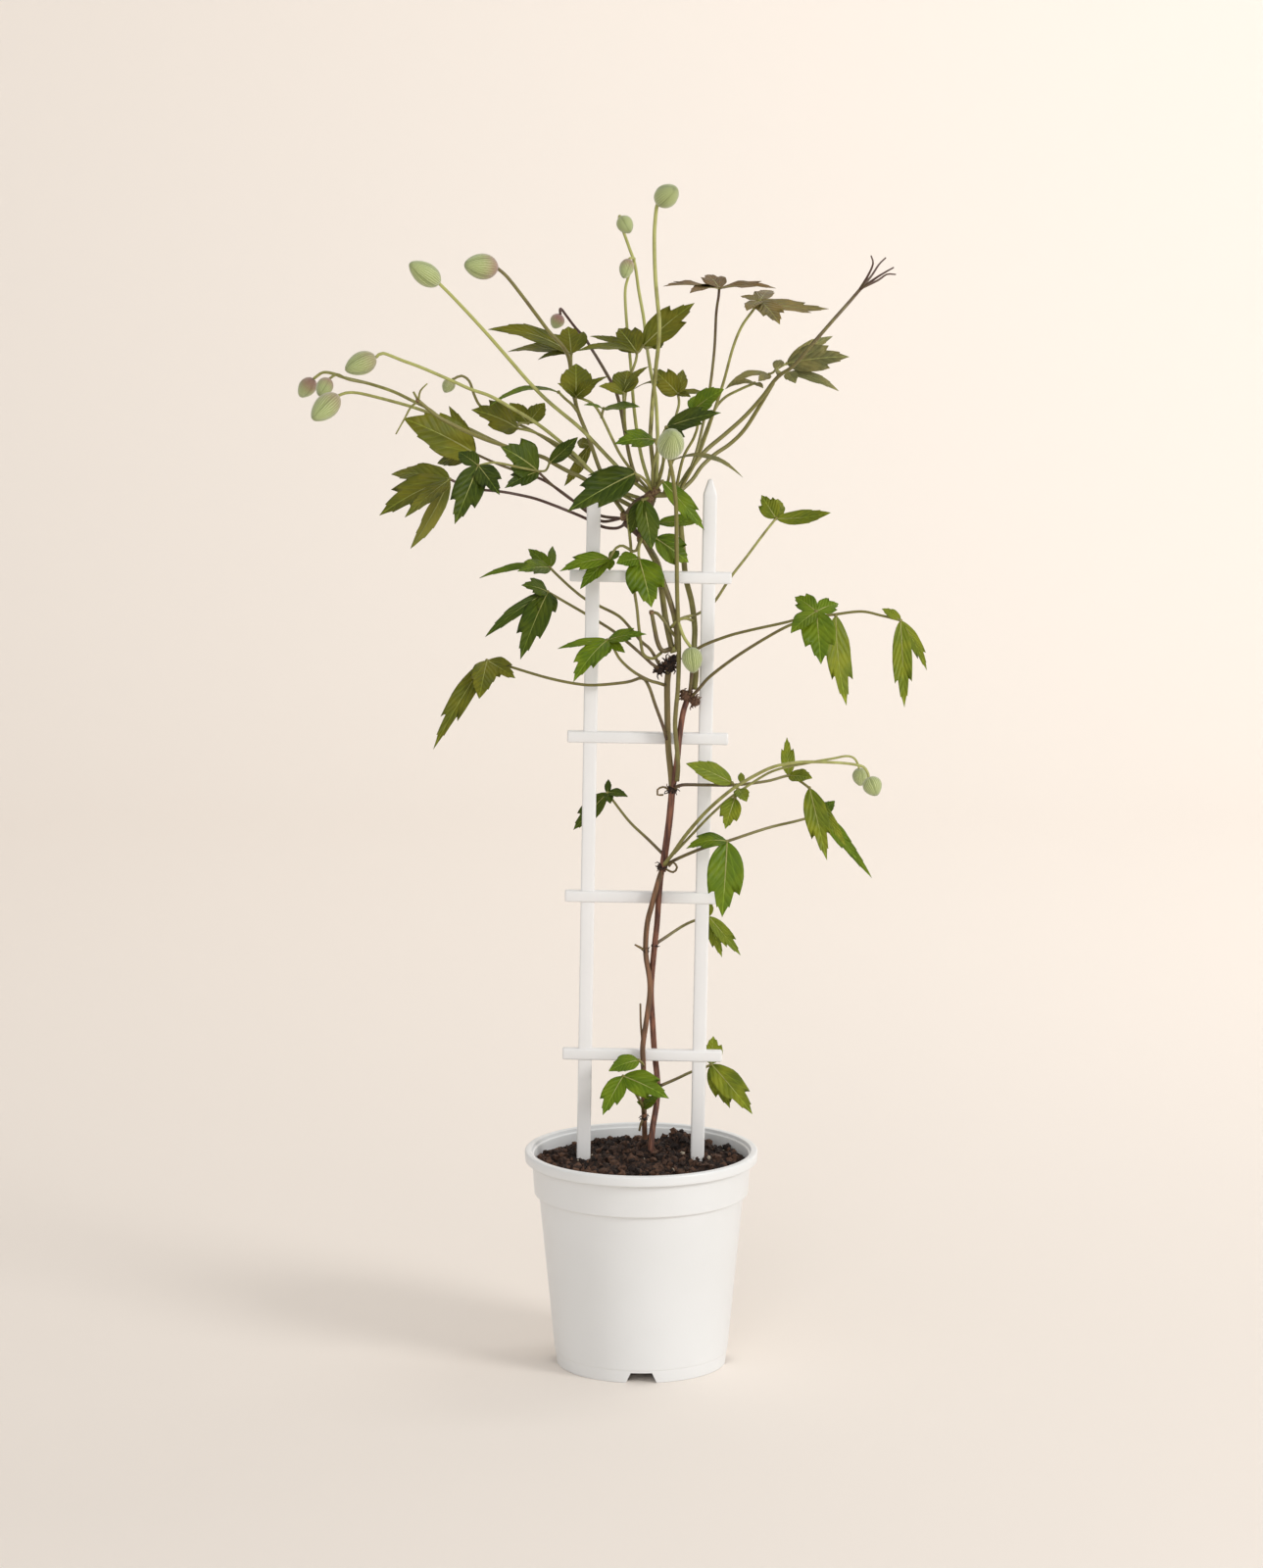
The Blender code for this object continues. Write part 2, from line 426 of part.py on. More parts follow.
        "cut": None,
        "fans": [((652, 570, 23), [
            leaflet((665, 620, 40), 27, 5, 20, 3, "lobed"),
            leaflet((629, 575, 30), 14, -10, 40, 1)])]},
    "leaf_center_dark": {
        "stalk": [(662, 508, 17), (659, 509, 21)],
        "cut": None,
        "fans": [((656, 510, 25), [
            leaflet((665, 561, 38), 17, 15, 15, 2),
            leaflet((643, 545, 34), 12, -15, 15, 1)])]},
    "leaf_center_right": {
        "stalk": [(656, 548, 12), (663, 547, 16)],
        "cut": None,
        "sprigs": [[(669, 549, 15), (668, 541, 9), (671, 534, 4)]],
        "fans": [((669, 549, 15), [leaflet((703, 574, 9), 20, 10, 20, 2, "lobed")]),
                 ((671, 534, 4), [leaflet((717, 532, 6), 14, 0, 60, 1)])]},
    "leaf_crown_right": {
        "stalk": [(668, 501, 15), (672, 496, 19)],
        "cut": None,
        "fans": [((676, 491, 22), [leaflet((719, 541, 20), 14, 10, 30, 2, "lobed")])]},
    "leaf_low_left_low": {
        "stalk": [(681, 700, 9), (672, 697, 15), (662, 694, 17), (646, 685, 15), (633, 673, 14),
                  (626, 661, 15)],
        "cut": 3.4,
        "fans": [((620, 653, 16), [
            leaflet((569, 662, 26), 7, 0, 50, 2),
            leaflet((585, 696, 44), 18, -15, 30, 4, "lobed"),
            leaflet((612, 673, 30), 11, 0, 20, 1),
            leaflet((638, 666, 26), 7, 0, 20, 0.5),
            leaflet((660, 647, 30), 12, 0, 45, 2, "lobed")])]},
    "leaf_far_left_low": {
        "stalk": [(681, 757, 11), (677, 742, 14), (669, 720, 14), (662, 700, 15), (655, 692, 11),
                  (640, 696, 9), (610, 699, 10), (590, 698, 9), (560, 692, 5), (526, 682, 0), (508, 676, -4)],
        "cut": 6,
        "fans": [((497, 674, -5), [
            leaflet((526, 692, 8), 16, 10, 30, 1, "lobed"),
            leaflet((489, 713, 18), 18, 0, 20, 2),
            leaflet((442, 765, 26), 15, -10, 25, 5, "lobed")])]},
    "leaf_low_right_far": {
        "stalk": [(686, 806, 10), (696, 801, 15), (720, 801, 16), (750, 801, 20), (783, 797, 14),
                  (805, 791.5, 8), (815, 796, 9)],
        "cut": 5.4,
        "sprigs": [[(750, 801, 20), (747, 799, 21)], [(750, 801, 20), (753, 805, 24), (750, 814, 30)]],
        "fans": [((826, 804, 12), [
                     leaflet((844, 878, 28), 17, 0, 15, 2, "lobed"),
                     leaflet((864, 865, 20), 8, 15, 20, 1)]),
                 ((747, 799, 21), [leaflet((700, 779, 30), 15, -5, 35, 3)]),
                 ((753, 805, 24), [leaflet((762, 818, 36), 11, 10, 30, 1)]),
                 ((750, 814, 30), [leaflet((740, 846, 40), 15, -5, 25, 1, "lobed")]),
                 ((757, 799, 19), [leaflet((756, 788, 12), 5, 0, 30, 0.5)]),
                 ((805, 791.5, 8), [
                     leaflet((803, 752, -2), 10, 0, 20, -1, "lobed"),
                     leaflet((829, 794, 16), 12, 10, 40, 1)])]},
    "leaf_low_right_mid": {
        "stalk": [(677, 884, 8), (692, 876, 14), (716, 866, 20), (742, 858.5, 25), (783, 845, 14),
                  (812, 838, 2)],
        "cut": 5.2,
        "fans": [((838, 831, -6), [
                     leaflet((852, 817, -10), 9, 0, 40, 1),
                     leaflet((875, 878, 0), 11, 20, 20, 2, "lobed"),
                     leaflet((890, 896, -14), 8, 20, 20, 2)]),
                 ((742, 858.5, 25), [
                     leaflet((700, 866, 32), 13, -10, 45, 5, "lobed"),
                     leaflet((737, 936, 42), 26, 5, 15, 3, "lobed")])]},
    "leaf_low_right": {
        "stalk": [(668, 964, 8), (680, 956, 2), (695, 946, -6), (707, 940, -9)],
        "cut": 3.9,
        "fans": [((723, 935, -9), [
            leaflet((725, 920, -14), 6, 0, 20, 0.5),
            leaflet((737, 977, -8), 10, 0, 10, 1, "lobed"),
            leaflet((756, 975, -4), 11, 15, 20, 1, "lobed"),
            leaflet((728, 958, -14), 5, 0, 10, 0.5)])]},
    "leaf_low_left": {
        "stalk": [(678, 873, 8), (662, 857, 2), (643, 839, -6), (628, 820, -11)],
        "cut": 3.3,
        "fans": [((620, 809, -13), [
            leaflet((585, 847, -20), 14, 0, 30, 1, "lobed"),
            leaflet((621, 795, -18), 5, 0, 20, 0.5),
            leaflet((623, 820, -4), 7, 0, 30, 0.5),
            leaflet((641, 813, -8), 8, 10, 45, 2)])]},
    "leaf_base_left": {
        "stalk": [(657.5, 1137, 0), (656, 1130, 8), (653, 1123, 13), (644, 1108, 17)],
        "cut": 5.4,
        "fans": [((636, 1098, 20), [
                     leaflet((615, 1138, 34), 16, -10, 25, 2, "lobed"),
                     leaflet((683, 1121, 34), 20, 0, 35, 3, "lobed")]),
                 ((656, 1130, 7), [
                     leaflet((672, 1119, 14), 9, 10, 40, 1),
                     leaflet((650, 1124, 16), 5, 0, 40, 0.5)])]},
    "leaf_base_top": {
        "stalk": [(656.7, 1088, 8), (655.5, 1085, 13)],
        "cut": 3.1,
        "fans": [((652, 1082, 16), [leaflet((621, 1093, 24), 14, 0, 40, 3)])]},
    "leaf_base_right": {
        "stalk": [(671.5, 1109, -6), (690, 1101, -9), (705, 1094, -10), (719, 1089.5, -10)],
        "cut": 4,
        "fans": [((726, 1086, -10), [
            leaflet((728, 1057, -16), 15, 0, 25, 1, "lobed"),
            leaflet((745, 1131, 4), 15, -10, 20, 2, "lobed"),
            leaflet((768, 1137, 14), 20, 10, 30, 2, "lobed")])]},
}

# Each bud has its foot, its tip and its width in mm. The last two hang together from one stalk.
BUDS = {
    "bud_1": ((448, 289, 26), (418, 268.5, 34), 16),
    "bud_2": ((507, 273.5, 0), (474, 270, 8), 18.5),
    "bud_3": ((383.5, 364.5, 9), (352, 378, 14), 16.5),
    "bud_4": ((320, 386.5, -10), (306, 405, -12), 12.5),
    "bud_5": ((335.5, 387, 10), (326, 404, 16), 12),
    "bud_6": ((344.5, 404, 20), (319, 428, 30), 17),
    "bud_7": ((461.5, 387, -38), (453.5, 400.5, -38), 9.5),
    "bud_8": ((572, 321, -53.5), (565, 335, -56), 10.5),
    "bud_9": ((672, 206.5, 0), (690, 192, 8), 16.5),
    "bud_10": ((633.5, 221.5, -38), (643, 237.5, -34), 12),
    "bud_11": ((642, 264.5, -35.5), (636.5, 284, -32), 10.5),
    "bud_12": ((683, 463, 51.5), (686.5, 441, 74), 19),
    "bud_13": ((705, 660, 24), (708, 687, 26), 15),
}
HANGING_STALKS = {
    "front": ([(676, 884, 8), (686, 872, 16), (700, 852, 23), (720, 829, 29), (740, 811, 33),
               (757, 799, 34), (783, 785, 32), (800, 780, 29), (820, 777.5, 25), (850, 778, 20),
               (868, 779.5, 16), (881, 782.5, 14), (886, 790, 14), (887, 797, 15)], 1.5, 1),
    "back": ([(688, 871, 18), (703, 855, 20), (724, 833, 22), (744, 815, 24), (760, 804, 24),
              (784, 789, 23), (802, 783, 23), (820, 779.5, 22), (835, 776.5, 20), (850, 774, 17),
              (864, 771.5, 10), (872, 774, 6), (876, 781, 4), (877, 787, 4)], 1, 0.8),
}
HANGING_BUDS = [((886.5, 793, 15), (895, 812, 18), 14), ((877, 784, 4), (878.5, 802, 2), 11)]
HANGING_CUT = 6.4
STALK_RADII = (1.25, 1)
SPRIG_RADII = (1, 0.9)
FOOT_GAP = 0.5 * MM
STRAIGHT = 0.8 * MM
FOLD = 0.14

TONES = {
    "dark": (0.06, 0.09, 0.01), "green": (0.13, 0.19, 0.02), "fresh": (0.21, 0.26, 0.045),
    "olive": (0.16, 0.17, 0.025), "grey": (0.24, 0.25, 0.08), "bronze": (0.16, 0.12, 0.05),
}
LEAF_TONES = {
    "leaf_left_low": "olive", "leaf_left_grey": "olive", "leaf_left_upper": "olive", "leaf_left_olive": "olive",
    "leaf_left_dark": "dark", "leaf_left_big": "dark", "leaf_top_left": "olive", "leaf_top_mid": "olive",
    "leaf_mid_left": "olive", "leaf_mid": "olive", "leaf_mid_right": "olive", "leaf_right_mid": "dark",
    "leaf_umbrella": "bronze", "leaf_umbrella_right": "bronze", "leaf_right_young": "fresh",
    "leaf_center_dark": "dark", "leaf_low_left": "dark", "leaf_low_left_mid": "dark", "leaf_shoot": "grey",
    "leaf_shoot_side": "grey", "leaf_right_narrow": "grey", "leaf_far_left_low": "olive",
    "leaf_far_right": "fresh", "leaf_low_right_far": "fresh", "leaf_low_right": "fresh",
    "leaf_base_right": "fresh",
}


def clear_scene():
    for obj in list(bpy.data.objects):
        bpy.data.objects.remove(obj, do_unlink=True)


def make_collection(name):
    collection = bpy.data.collections.new(name)
    bpy.context.scene.collection.children.link(collection)
    return collection


def make_material(name, colour, roughness):
    material = bpy.data.materials.new(name)
    material.use_nodes = True
    shader = material.node_tree.nodes["Principled BSDF"]
    shader.inputs["Base Color"].default_value = (*colour, 1)
    shader.inputs["Roughness"].default_value = roughness
    shader.inputs["Metallic"].default_value = 0
    return material


def spread(across, down):
    """How much more depth the plant has here than its routes say: it fans out from its stems."""
    aside = max(0, abs(across - STEM_LINE) - STEM_ROOM)
    above = max(0, CROWN_LINE - down)
    return 1 + MOST_SPREAD * min(1, math.hypot(aside, above) / SPREAD_REACH)


def spot(across, down, toward):
    """The place of a pixel of the photograph, this many mm in front of the pot's middle."""
    toward *= spread(across, down)
    ahead = Vector((0, math.cos(VIEW_PITCH), -math.sin(VIEW_PITCH)))
    above = Vector((0, math.sin(VIEW_PITCH), math.cos(VIEW_PITCH)))
    ray = ahead + above * (VIEW_MIDDLE[1] - down) / VIEW_FOCAL
    ray.x = (across - VIEW_MIDDLE[0]) / VIEW_FOCAL
    return Vector((VIEW_ASIDE, -VIEW_AWAY, VIEW_HEIGHT)) + ray * (VIEW_AWAY - toward * MM) / ray.y


def spots(route):
    return [spot(*point) for point in route]


def shortened(points, by):
    """The same line with this length taken off its start."""
    points = list(points)
    while (points[1] - points[0]).length <= by:
        by -= (points[1] - points[0]).length
        del points[0]
    points[0] = points[0].lerp(points[1], by / (points[1] - points[0]).length)
    return points


def object_of(bm, name, collection):
    mesh = bpy.data.meshes.new(name)
    bm.to_mesh(mesh)
    bm.free()
    obj = bpy.data.objects.new(name, mesh)
    collection.objects.link(obj)
    return obj


def as_mesh(obj, name, collection):
    """The object as it is evaluated, made a plain mesh: points welded, faces outward."""
    bpy.context.view_layer.update()
    graph = bpy.context.evaluated_depsgraph_get()
    mesh = bpy.data.meshes.new_from_object(obj.evaluated_get(graph))
    bm = bmesh.new()
    bm.from_mesh(mesh)
    bmesh.ops.remove_doubles(bm, verts=bm.verts[:], dist=1e-6)
    bmesh.ops.recalc_face_normals(bm, faces=bm.faces[:])
    bm.to_mesh(mesh)
    bm.free()
    place = obj.matrix_world.copy()
    bpy.data.objects.remove(obj, do_unlink=True)
    made = bpy.data.objects.new(name, mesh)
    made.matrix_world = place
    collection.objects.link(made)
    return made


def thinned(points):
    """The same line without the points that hardly bend it."""
    kept = [points[0]]
    for i in range(1, len(points) - 1):
        before = points[i] - kept[-1]
        ahead = points[i + 1] - kept[-1]
        if before.cross(ahead).length / ahead.length > STRAIGHT:
            kept.append(points[i])
    return kept + [points[-1]]


def tube(name, points, first, last, collection, sides=3):
    """A stalk through these points, its radius in mm going evenly from first to last."""
    points = thinned(points)
    outline = bpy.data.curves.new("outline", "CURVE")
    ring = outline.splines.new("POLY")
    ring.points.add(sides - 1)
    ring.use_cyclic_u = True
    for i, corner in enumerate(ring.points):
        angle = math.tau * i / sides
        corner.co = (first * MM * math.cos(angle), first * MM * math.sin(angle), 0, 1)
    outline_object = bpy.data.objects.new("outline", outline)
    collection.objects.link(outline_object)
    curve = bpy.data.curves.new(name, "CURVE")
    curve.dimensions = "3D"
    curve.bevel_mode = "OBJECT"
    curve.bevel_object = outline_object
    curve.use_fill_caps = True
    spline = curve.splines.new("POLY")
    spline.points.add(len(points) - 1)
    for i, point in enumerate(points):
        spline.points[i].co = (*point, 1)
        spline.points[i].radius = 1 + (last / first - 1) * i / (len(points) - 1)
    obj = bpy.data.objects.new(name + "_line", curve)
    collection.objects.link(obj)
    made = as_mesh(obj, name, collection)
    bpy.data.objects.remove(outline_object, do_unlink=True)
    return made


def lump(name, across, down, toward, radius, collection):
    """A round knot on a stem, its radius in mm. Large ones have more faces."""
    bm = bmesh.new()
    place = Matrix.Translation(spot(across, down, toward))
    bmesh.ops.create_icosphere(bm, subdivisions=2 if radius > 4.3 else 1, radius=radius * MM, matrix=place)
    return object_of(bm, name, collection)


def hub(name, centre, collection):
    """The eight-sided node where leaflets meet."""
    bm = bmesh.new()
    bmesh.ops.create_uvsphere(bm, u_segments=4, v_segments=2, radius=HUB_RADIUS, matrix=Matrix.Translation(centre))
    return object_of(bm, name, collection)


def blade(name, base, leaf, collection):
    """A leaflet from its hub to its tip, both faces cut into the same triangles."""
    reach = spot(*leaf["tip"]) - base
    along = reach.normalized()
    turn = math.radians(leaf["turn"])
    lift = math.radians(leaf["lift"])
    facing = Vector((math.sin(turn) * math.cos(lift), -math.cos(turn) * math.cos(lift), math.sin(lift)))
    facing = (facing - along * along.dot(facing)).normalized()
    side = facing.cross(along)
    small = leaf["outline"] == "lobed" and leaf["width"] < LARGE_WIDTH
    rows = OUTLINES["small_lobed" if small else leaf["outline"]]
    columns = 2 if leaf["width"] > CREASED_WIDTH else 1
    bm = bmesh.new()
    bmesh.ops.create_grid(bm, x_segments=len(rows) - 1, y_segments=columns, size=0.5)
    for vert in bm.verts:
        middle, edge, share = rows[round((vert.co.x + 0.5) * (len(rows) - 1))]
        across = round(vert.co.y * 2)
        forward = edge if across else middle
        half = share * leaf["width"] * MM / 2
        rise = 4 * forward * (1 - forward) * leaf["arch"] * MM + FOLD * half * abs(across)
        vert.co = base + reach * forward + side * half * across + facing * rise
    bmesh.ops.remove_doubles(bm, verts=bm.verts[:], dist=1e-6)
    bmesh.ops.triangulate(bm, faces=bm.faces[:], quad_method="FIXED")
    made = bmesh.ops.extrude_face_region(bm, geom=bm.faces[:], use_keep_orig=True)["geom"]
    under = [item for item in made if isinstance(item, bmesh.types.BMVert)]
    bmesh.ops.translate(bm, vec=-facing * BLADE, verts=under)
    bmesh.ops.recalc_face_normals(bm, faces=bm.faces[:])
    return object_of(bm, name, collection)


def bud(name, foot, tip, width, collection):
    """A flower bud: a blunt-ended egg with four seams, from its foot to its tip."""
    axis = tip - foot
    turn = axis.to_track_quat("Z", "Y").to_matrix()
    bm = bmesh.new()
    bmesh.ops.create_uvsphere(bm, u_segments=8, v_segments=5, radius=1)
    for vert in bm.verts:
        share = math.acos(max(-1, min(1, -vert.co.z))) / math.pi
        angle = math.atan2(vert.co.y, vert.co.x)
        seam = 1 - 0.07 * math.sin(2 * angle) ** 2
        radius = width / 2 * MM * math.sin(math.pi * share ** 0.82) ** 0.62 * seam
        place = Vector((radius * math.cos(angle), radius * math.sin(angle), axis.length * share))
        vert.co = foot + turn @ place
    return object_of(bm, name, collection)


def joined(name, pieces, collection, material):
    """One body: a Boolean union of all the pieces."""
    others = bpy.data.collections.new(name + "_pieces")
    for piece in pieces[1:]:
        others.objects.link(piece)
    if pieces[1:]:
        union = pieces[0].modifiers.new("union", "BOOLEAN")
        union.operation = "UNION"
        union.operand_type = "COLLECTION"
        union.collection = others
        union.solver = "MANIFOLD"
    made = as_mesh(pieces[0], name, collection)
    for piece in pieces[1:]:
        bpy.data.objects.remove(piece, do_unlink=True)
    bpy.data.collections.remove(others)
    made.data.materials.clear()
    made.data.materials.append(material)
    return made


def carve(obj, cutters):
    """Leaves a live Boolean on the object for each cutter."""
    for cutter in cutters:
        cutter.hide_render = True
        cutter.display_type = "WIRE"
        modifier = obj.modifiers.new(cutter.name, "BOOLEAN")
        modifier.operation = "DIFFERENCE"
        modifier.object = cutter
        modifier.solver = "EXACT"


def turned(name, profile, collection, material):
    """A round body: its profile of radius and height turned about the upright axis."""
    bm = bmesh.new()
    corners = [bm.verts.new((radius, 0, height)) for radius, height in profile]
    for first, second in zip(corners, corners[1:]):
        bm.edges.new((first, second))
    obj = object_of(bm, name, collection)
    screw = obj.modifiers.new("turn", "SCREW")
    screw.steps = TURNED_SIDES
    screw.render_steps = TURNED_SIDES
    screw.use_merge_vertices = True
    screw.merge_threshold = 0.00001
    obj.data.materials.append(material)
    return obj


def build_pot(parts, cutters, material):
    """Rim, band, step and tapering wall over a raised floor, with foot notches and drain holes."""
    lip_foot = POT_HEIGHT - LIP_HEIGHT
    profile = [
        (0, FLOOR_HEIGHT), (FOOT_RADIUS - WALL, FLOOR_HEIGHT), (STEP_RADIUS - WALL, STEP_HEIGHT - 1.5 * MM),
        (BAND_FOOT_RADIUS - WALL, STEP_HEIGHT + WALL), (BAND_RADIUS - WALL, lip_foot),
        (BAND_RADIUS, POT_HEIGHT), (RIM_RADIUS - 1 * MM, POT_HEIGHT), (RIM_RADIUS, POT_HEIGHT - 1 * MM),
        (RIM_RADIUS, lip_foot), (BAND_RADIUS, lip_foot),
        (BAND_FOOT_RADIUS, STEP_HEIGHT), (STEP_RADIUS, STEP_HEIGHT - 0.5 * MM),
        (FOOT_RADIUS + 0.8 * MM, FLOOR_HEIGHT), (FOOT_RADIUS, 0), (FOOT_RADIUS - FOOT_WIDTH, 0),
        (FOOT_RADIUS - FOOT_WIDTH, FLOOR_HEIGHT - WALL), (0, FLOOR_HEIGHT - WALL),
    ]
    pot = turned("pot", profile, parts, material)
    for number in range(NOTCH_COUNT):
        bm = bmesh.new()
        bmesh.ops.create_cube(bm, size=1)
        for vert in bm.verts:
            width = NOTCH_TOP_WIDTH if vert.co.z > 0 else NOTCH_WIDTH
            height = NOTCH_HEIGHT if vert.co.z > 0 else -1 * MM
            vert.co = Vector((vert.co.x * width, vert.co.y * 3 * FOOT_WIDTH - FOOT_RADIUS, height))
        turn = Matrix.Rotation(math.tau * number / NOTCH_COUNT, 3, "Z")
        bmesh.ops.rotate(bm, verts=bm.verts[:], cent=(0, 0, 0), matrix=turn)
        carve(pot, [object_of(bm, f"foot_notch_{number + 1}", cutters)])
    for number in range(DRAIN_COUNT):
        turn = math.tau * (number + 0.5) / DRAIN_COUNT
        middle = Vector((math.cos(turn), math.sin(turn), 0)) * DRAIN_CIRCLE
        middle.z = FLOOR_HEIGHT - WALL / 2
        bm = bmesh.new()
        bmesh.ops.create_cone(bm, cap_ends=True, segments=8, radius1=DRAIN_RADIUS, radius2=DRAIN_RADIUS,
                              depth=3 * WALL, matrix=Matrix.Translation(middle))
        carve(pot, [object_of(bm, f"drain_hole_{number + 1}", cutters)])


def soil_rise(x, y):
    """How far the soil's surface stands above its edge: a heap, one clod, and lumps on both."""
    share = math.hypot(x, y) / BAND_RADIUS
    heap = SOIL_HEAP * math.exp(-(share / 0.5) ** 2)
    clod = SOIL_CLOD * math.exp(-((x - 30 * MM) ** 2 + (y - 38 * MM) ** 2) / (14 * MM) ** 2)
    wave = math.sin(x / (4.1 * MM) + 1) * math.cos(y / (5.3 * MM)) + 0.6 * math.sin((x + y) / (2.9 * MM))
    return heap + clod + SOIL_LUMP * wave * min(1, max(0, (0.96 - share) * 6))


def build_soil(parts, holes, material):
    """Soil turned to fit inside the pot, its top lumpy, with plain holes for trellis and stems."""
    profile = [(0, SOIL_HEIGHT)] + [(radius, SOIL_HEIGHT) for radius in SOIL_RINGS]
    profile += [
        (BAND_RADIUS - WALL - 0.8 * MM, SOIL_HEIGHT), (BAND_FOOT_RADIUS - WALL - 0.7 * MM, STEP_HEIGHT + WALL),
        (STEP_RADIUS - WALL - 0.4 * MM, STEP_HEIGHT - 1 * MM), (FOOT_RADIUS - WALL - 0.4 * MM, FLOOR_HEIGHT + GAP),
        (0, FLOOR_HEIGHT + GAP),
    ]
    soil = as_mesh(turned("soil_turned", profile, parts, material), "soil", parts)
    for vert in soil.data.vertices:
        if vert.co.z > SOIL_HEIGHT - 0.1 * MM:
            vert.co.z += soil_rise(vert.co.x, vert.co.y)
    carve(soil, holes)


def bar(name, size, middle, collection, pointed=False):
    """A chamfered bar along its longest side. A pointed one is drawn in to a blunt tip on top."""
    bm = bmesh.new()
    bmesh.ops.create_cube(bm, size=1)
    bmesh.ops.scale(bm, vec=size, verts=bm.verts[:])
    bmesh.ops.translate(bm, vec=middle, verts=bm.verts[:])
    long = [edge for edge in bm.edges if edge.calc_length() > 0.9 * max(size)]
    bmesh.ops.bevel(bm, geom=long, offset=CHAMFER, segments=1, affect="EDGES")
    if pointed:
        bm.normal_update()
        top = [face for face in bm.faces if face.normal.z > 0.9]
        tip = bmesh.ops.extrude_discrete_faces(bm, faces=top)["faces"][0]
        for vert in tip.verts:
            vert.co.x += (middle[0] - vert.co.x) * 0.68
            vert.co.y += (middle[1] - vert.co.y) * 0.45
            vert.co.z += POINT_LENGTH
    return object_of(bm, name, collection)


def trellis_place():
    """Where the trellis, built upright over the origin, is pushed in: aside and leaning a little."""
    return Matrix.Translation((TRELLIS_SHIFT, 0, 0)) @ Matrix.Rotation(TRELLIS_LEAN, 4, "Y")


def build_trellis(parts, cutters, material):
    """Two pointed uprights and four rungs, one moulding. Returns the cutters of its holes."""
    shaft = TRELLIS_LENGTH - POINT_LENGTH
    pieces = []
    holes = []
    for number, across in enumerate((-UPRIGHT_SPACING / 2, UPRIGHT_SPACING / 2)):
        size = Vector((UPRIGHT_WIDTH, UPRIGHT_DEPTH, shaft))
        middle = Vector((across, 0, TRELLIS_FOOT + shaft / 2))
        pieces.append(bar(f"upright_{number + 1}", size, middle, parts, pointed=True))
        room = Vector((GAP, GAP, GAP))
        bm = bmesh.new()
        bmesh.ops.create_cube(bm, size=1)
        bmesh.ops.scale(bm, vec=size + 2 * room, verts=bm.verts[:])
        bmesh.ops.translate(bm, vec=middle, verts=bm.verts[:])
        bmesh.ops.transform(bm, matrix=trellis_place(), verts=bm.verts[:])
        holes.append(object_of(bm, f"upright_hole_{number + 1}", cutters))
    toward = UPRIGHT_DEPTH / 2 + RUNG_PROUD - RUNG_DEPTH / 2
    for number in range(RUNG_COUNT):
        height = TRELLIS_FOOT + TRELLIS_LENGTH - TOP_RUNG_DROP - number * RUNG_PITCH
        size = Vector((RUNG_LENGTH, RUNG_DEPTH, RUNG_HEIGHT))
        pieces.append(bar(f"rung_{number + 1}", size, Vector((0, -toward, height)), parts))
    trellis = joined("trellis", pieces, parts, material)
    trellis.data.transform(trellis_place())
    return holes


def build_stems(parts, cutters, material):
    """The woody stems with their knots. Returns the cutters of the holes they stand in."""
    pieces = []
    for name, (route, first, last) in WOODY_STEMS.items():
        pieces.append(tube(name, spots(route), first, last, parts, 6 if first > 1.6 else 3))
    pieces += [lump("knot", *knot, parts) for knot in KNOTS]
    joined("stems", pieces, parts, material)
    holes = []
    for name in STANDING_STEMS:
        route, first, last = WOODY_STEMS[name]
        line = spots(route[:3])
        line.insert(0, line[0] + (line[0] - line[1]).normalized() * GAP)
        holes.append(tube(f"{name}_stem_hole", line, first + 0.45, first + 0.45, cutters, 6))
    return holes


def leaf_route(leaf):
    """A leaf's stalk, from its stem to the hub of its first fan."""
    return spots(leaf["stalk"] + [leaf["fans"][0][0]])


def build_stalks(parts, material):
    """All the upper stalks, grown together. Those of leaves and buds end just short of them."""
    pieces = []
    for name, (route, first, last) in STALKS.items():
        line = spots(route)
        if name in BUDS:
            line = shortened([spot(*BUDS[name][0])] + line[::-1], FOOT_GAP)[::-1]
        pieces.append(tube(name + "_stalk", line, first, last, parts, 6 if first > 1.6 else 3))
    for name, leaf in LEAVES.items():
        if leaf["cut"] is None:
            line = shortened(leaf_route(leaf)[::-1], HUB_RADIUS + GAP)[::-1]
            pieces.append(tube(name + "_stalk", line, *STALK_RADII, parts))
    pieces += [lump("crown_node", *node, parts) for node in CROWN_NODES]
    joined("stalks", pieces, parts, material)


def build_leaf(name, leaf, parts, material):
    """One leaf: its fans of leaflets, with the sprigs between them, on its own stalk if it has one."""
    pieces = []
    if leaf["cut"] is not None:
        line = shortened(leaf_route(leaf), leaf["cut"] * MM)
        pieces.append(tube(name + "_stalk", line, *STALK_RADII, parts))
    for sprig in leaf.get("sprigs", []):
        pieces.append(tube(name + "_sprig", spots(sprig), *SPRIG_RADII, parts))
    for centre, leaflets in leaf["fans"]:
        if pieces or len(leaflets) > 1:
            pieces.append(hub(name + "_hub", spot(*centre), parts))
        for each in leaflets:
            pieces.append(blade(name + "_blade", spot(*centre), each, parts))
    joined(name, pieces, parts, material)


def build_hanging_buds(parts, material):
    """Two buds on one forked stalk that reaches out to the right."""
    pieces = []
    for name, (route, first, last) in HANGING_STALKS.items():
        line = spots(route)
        if name == "front":
            line = shortened(line, HANGING_CUT * MM)
        pieces.append(tube(name + "_stalk", line, first, last, parts))
    for foot, tip, width in HANGING_BUDS:
        pieces.append(bud("hanging_bud", spot(*foot), spot(*tip), width, parts))
    joined("buds_right", pieces, parts, material)


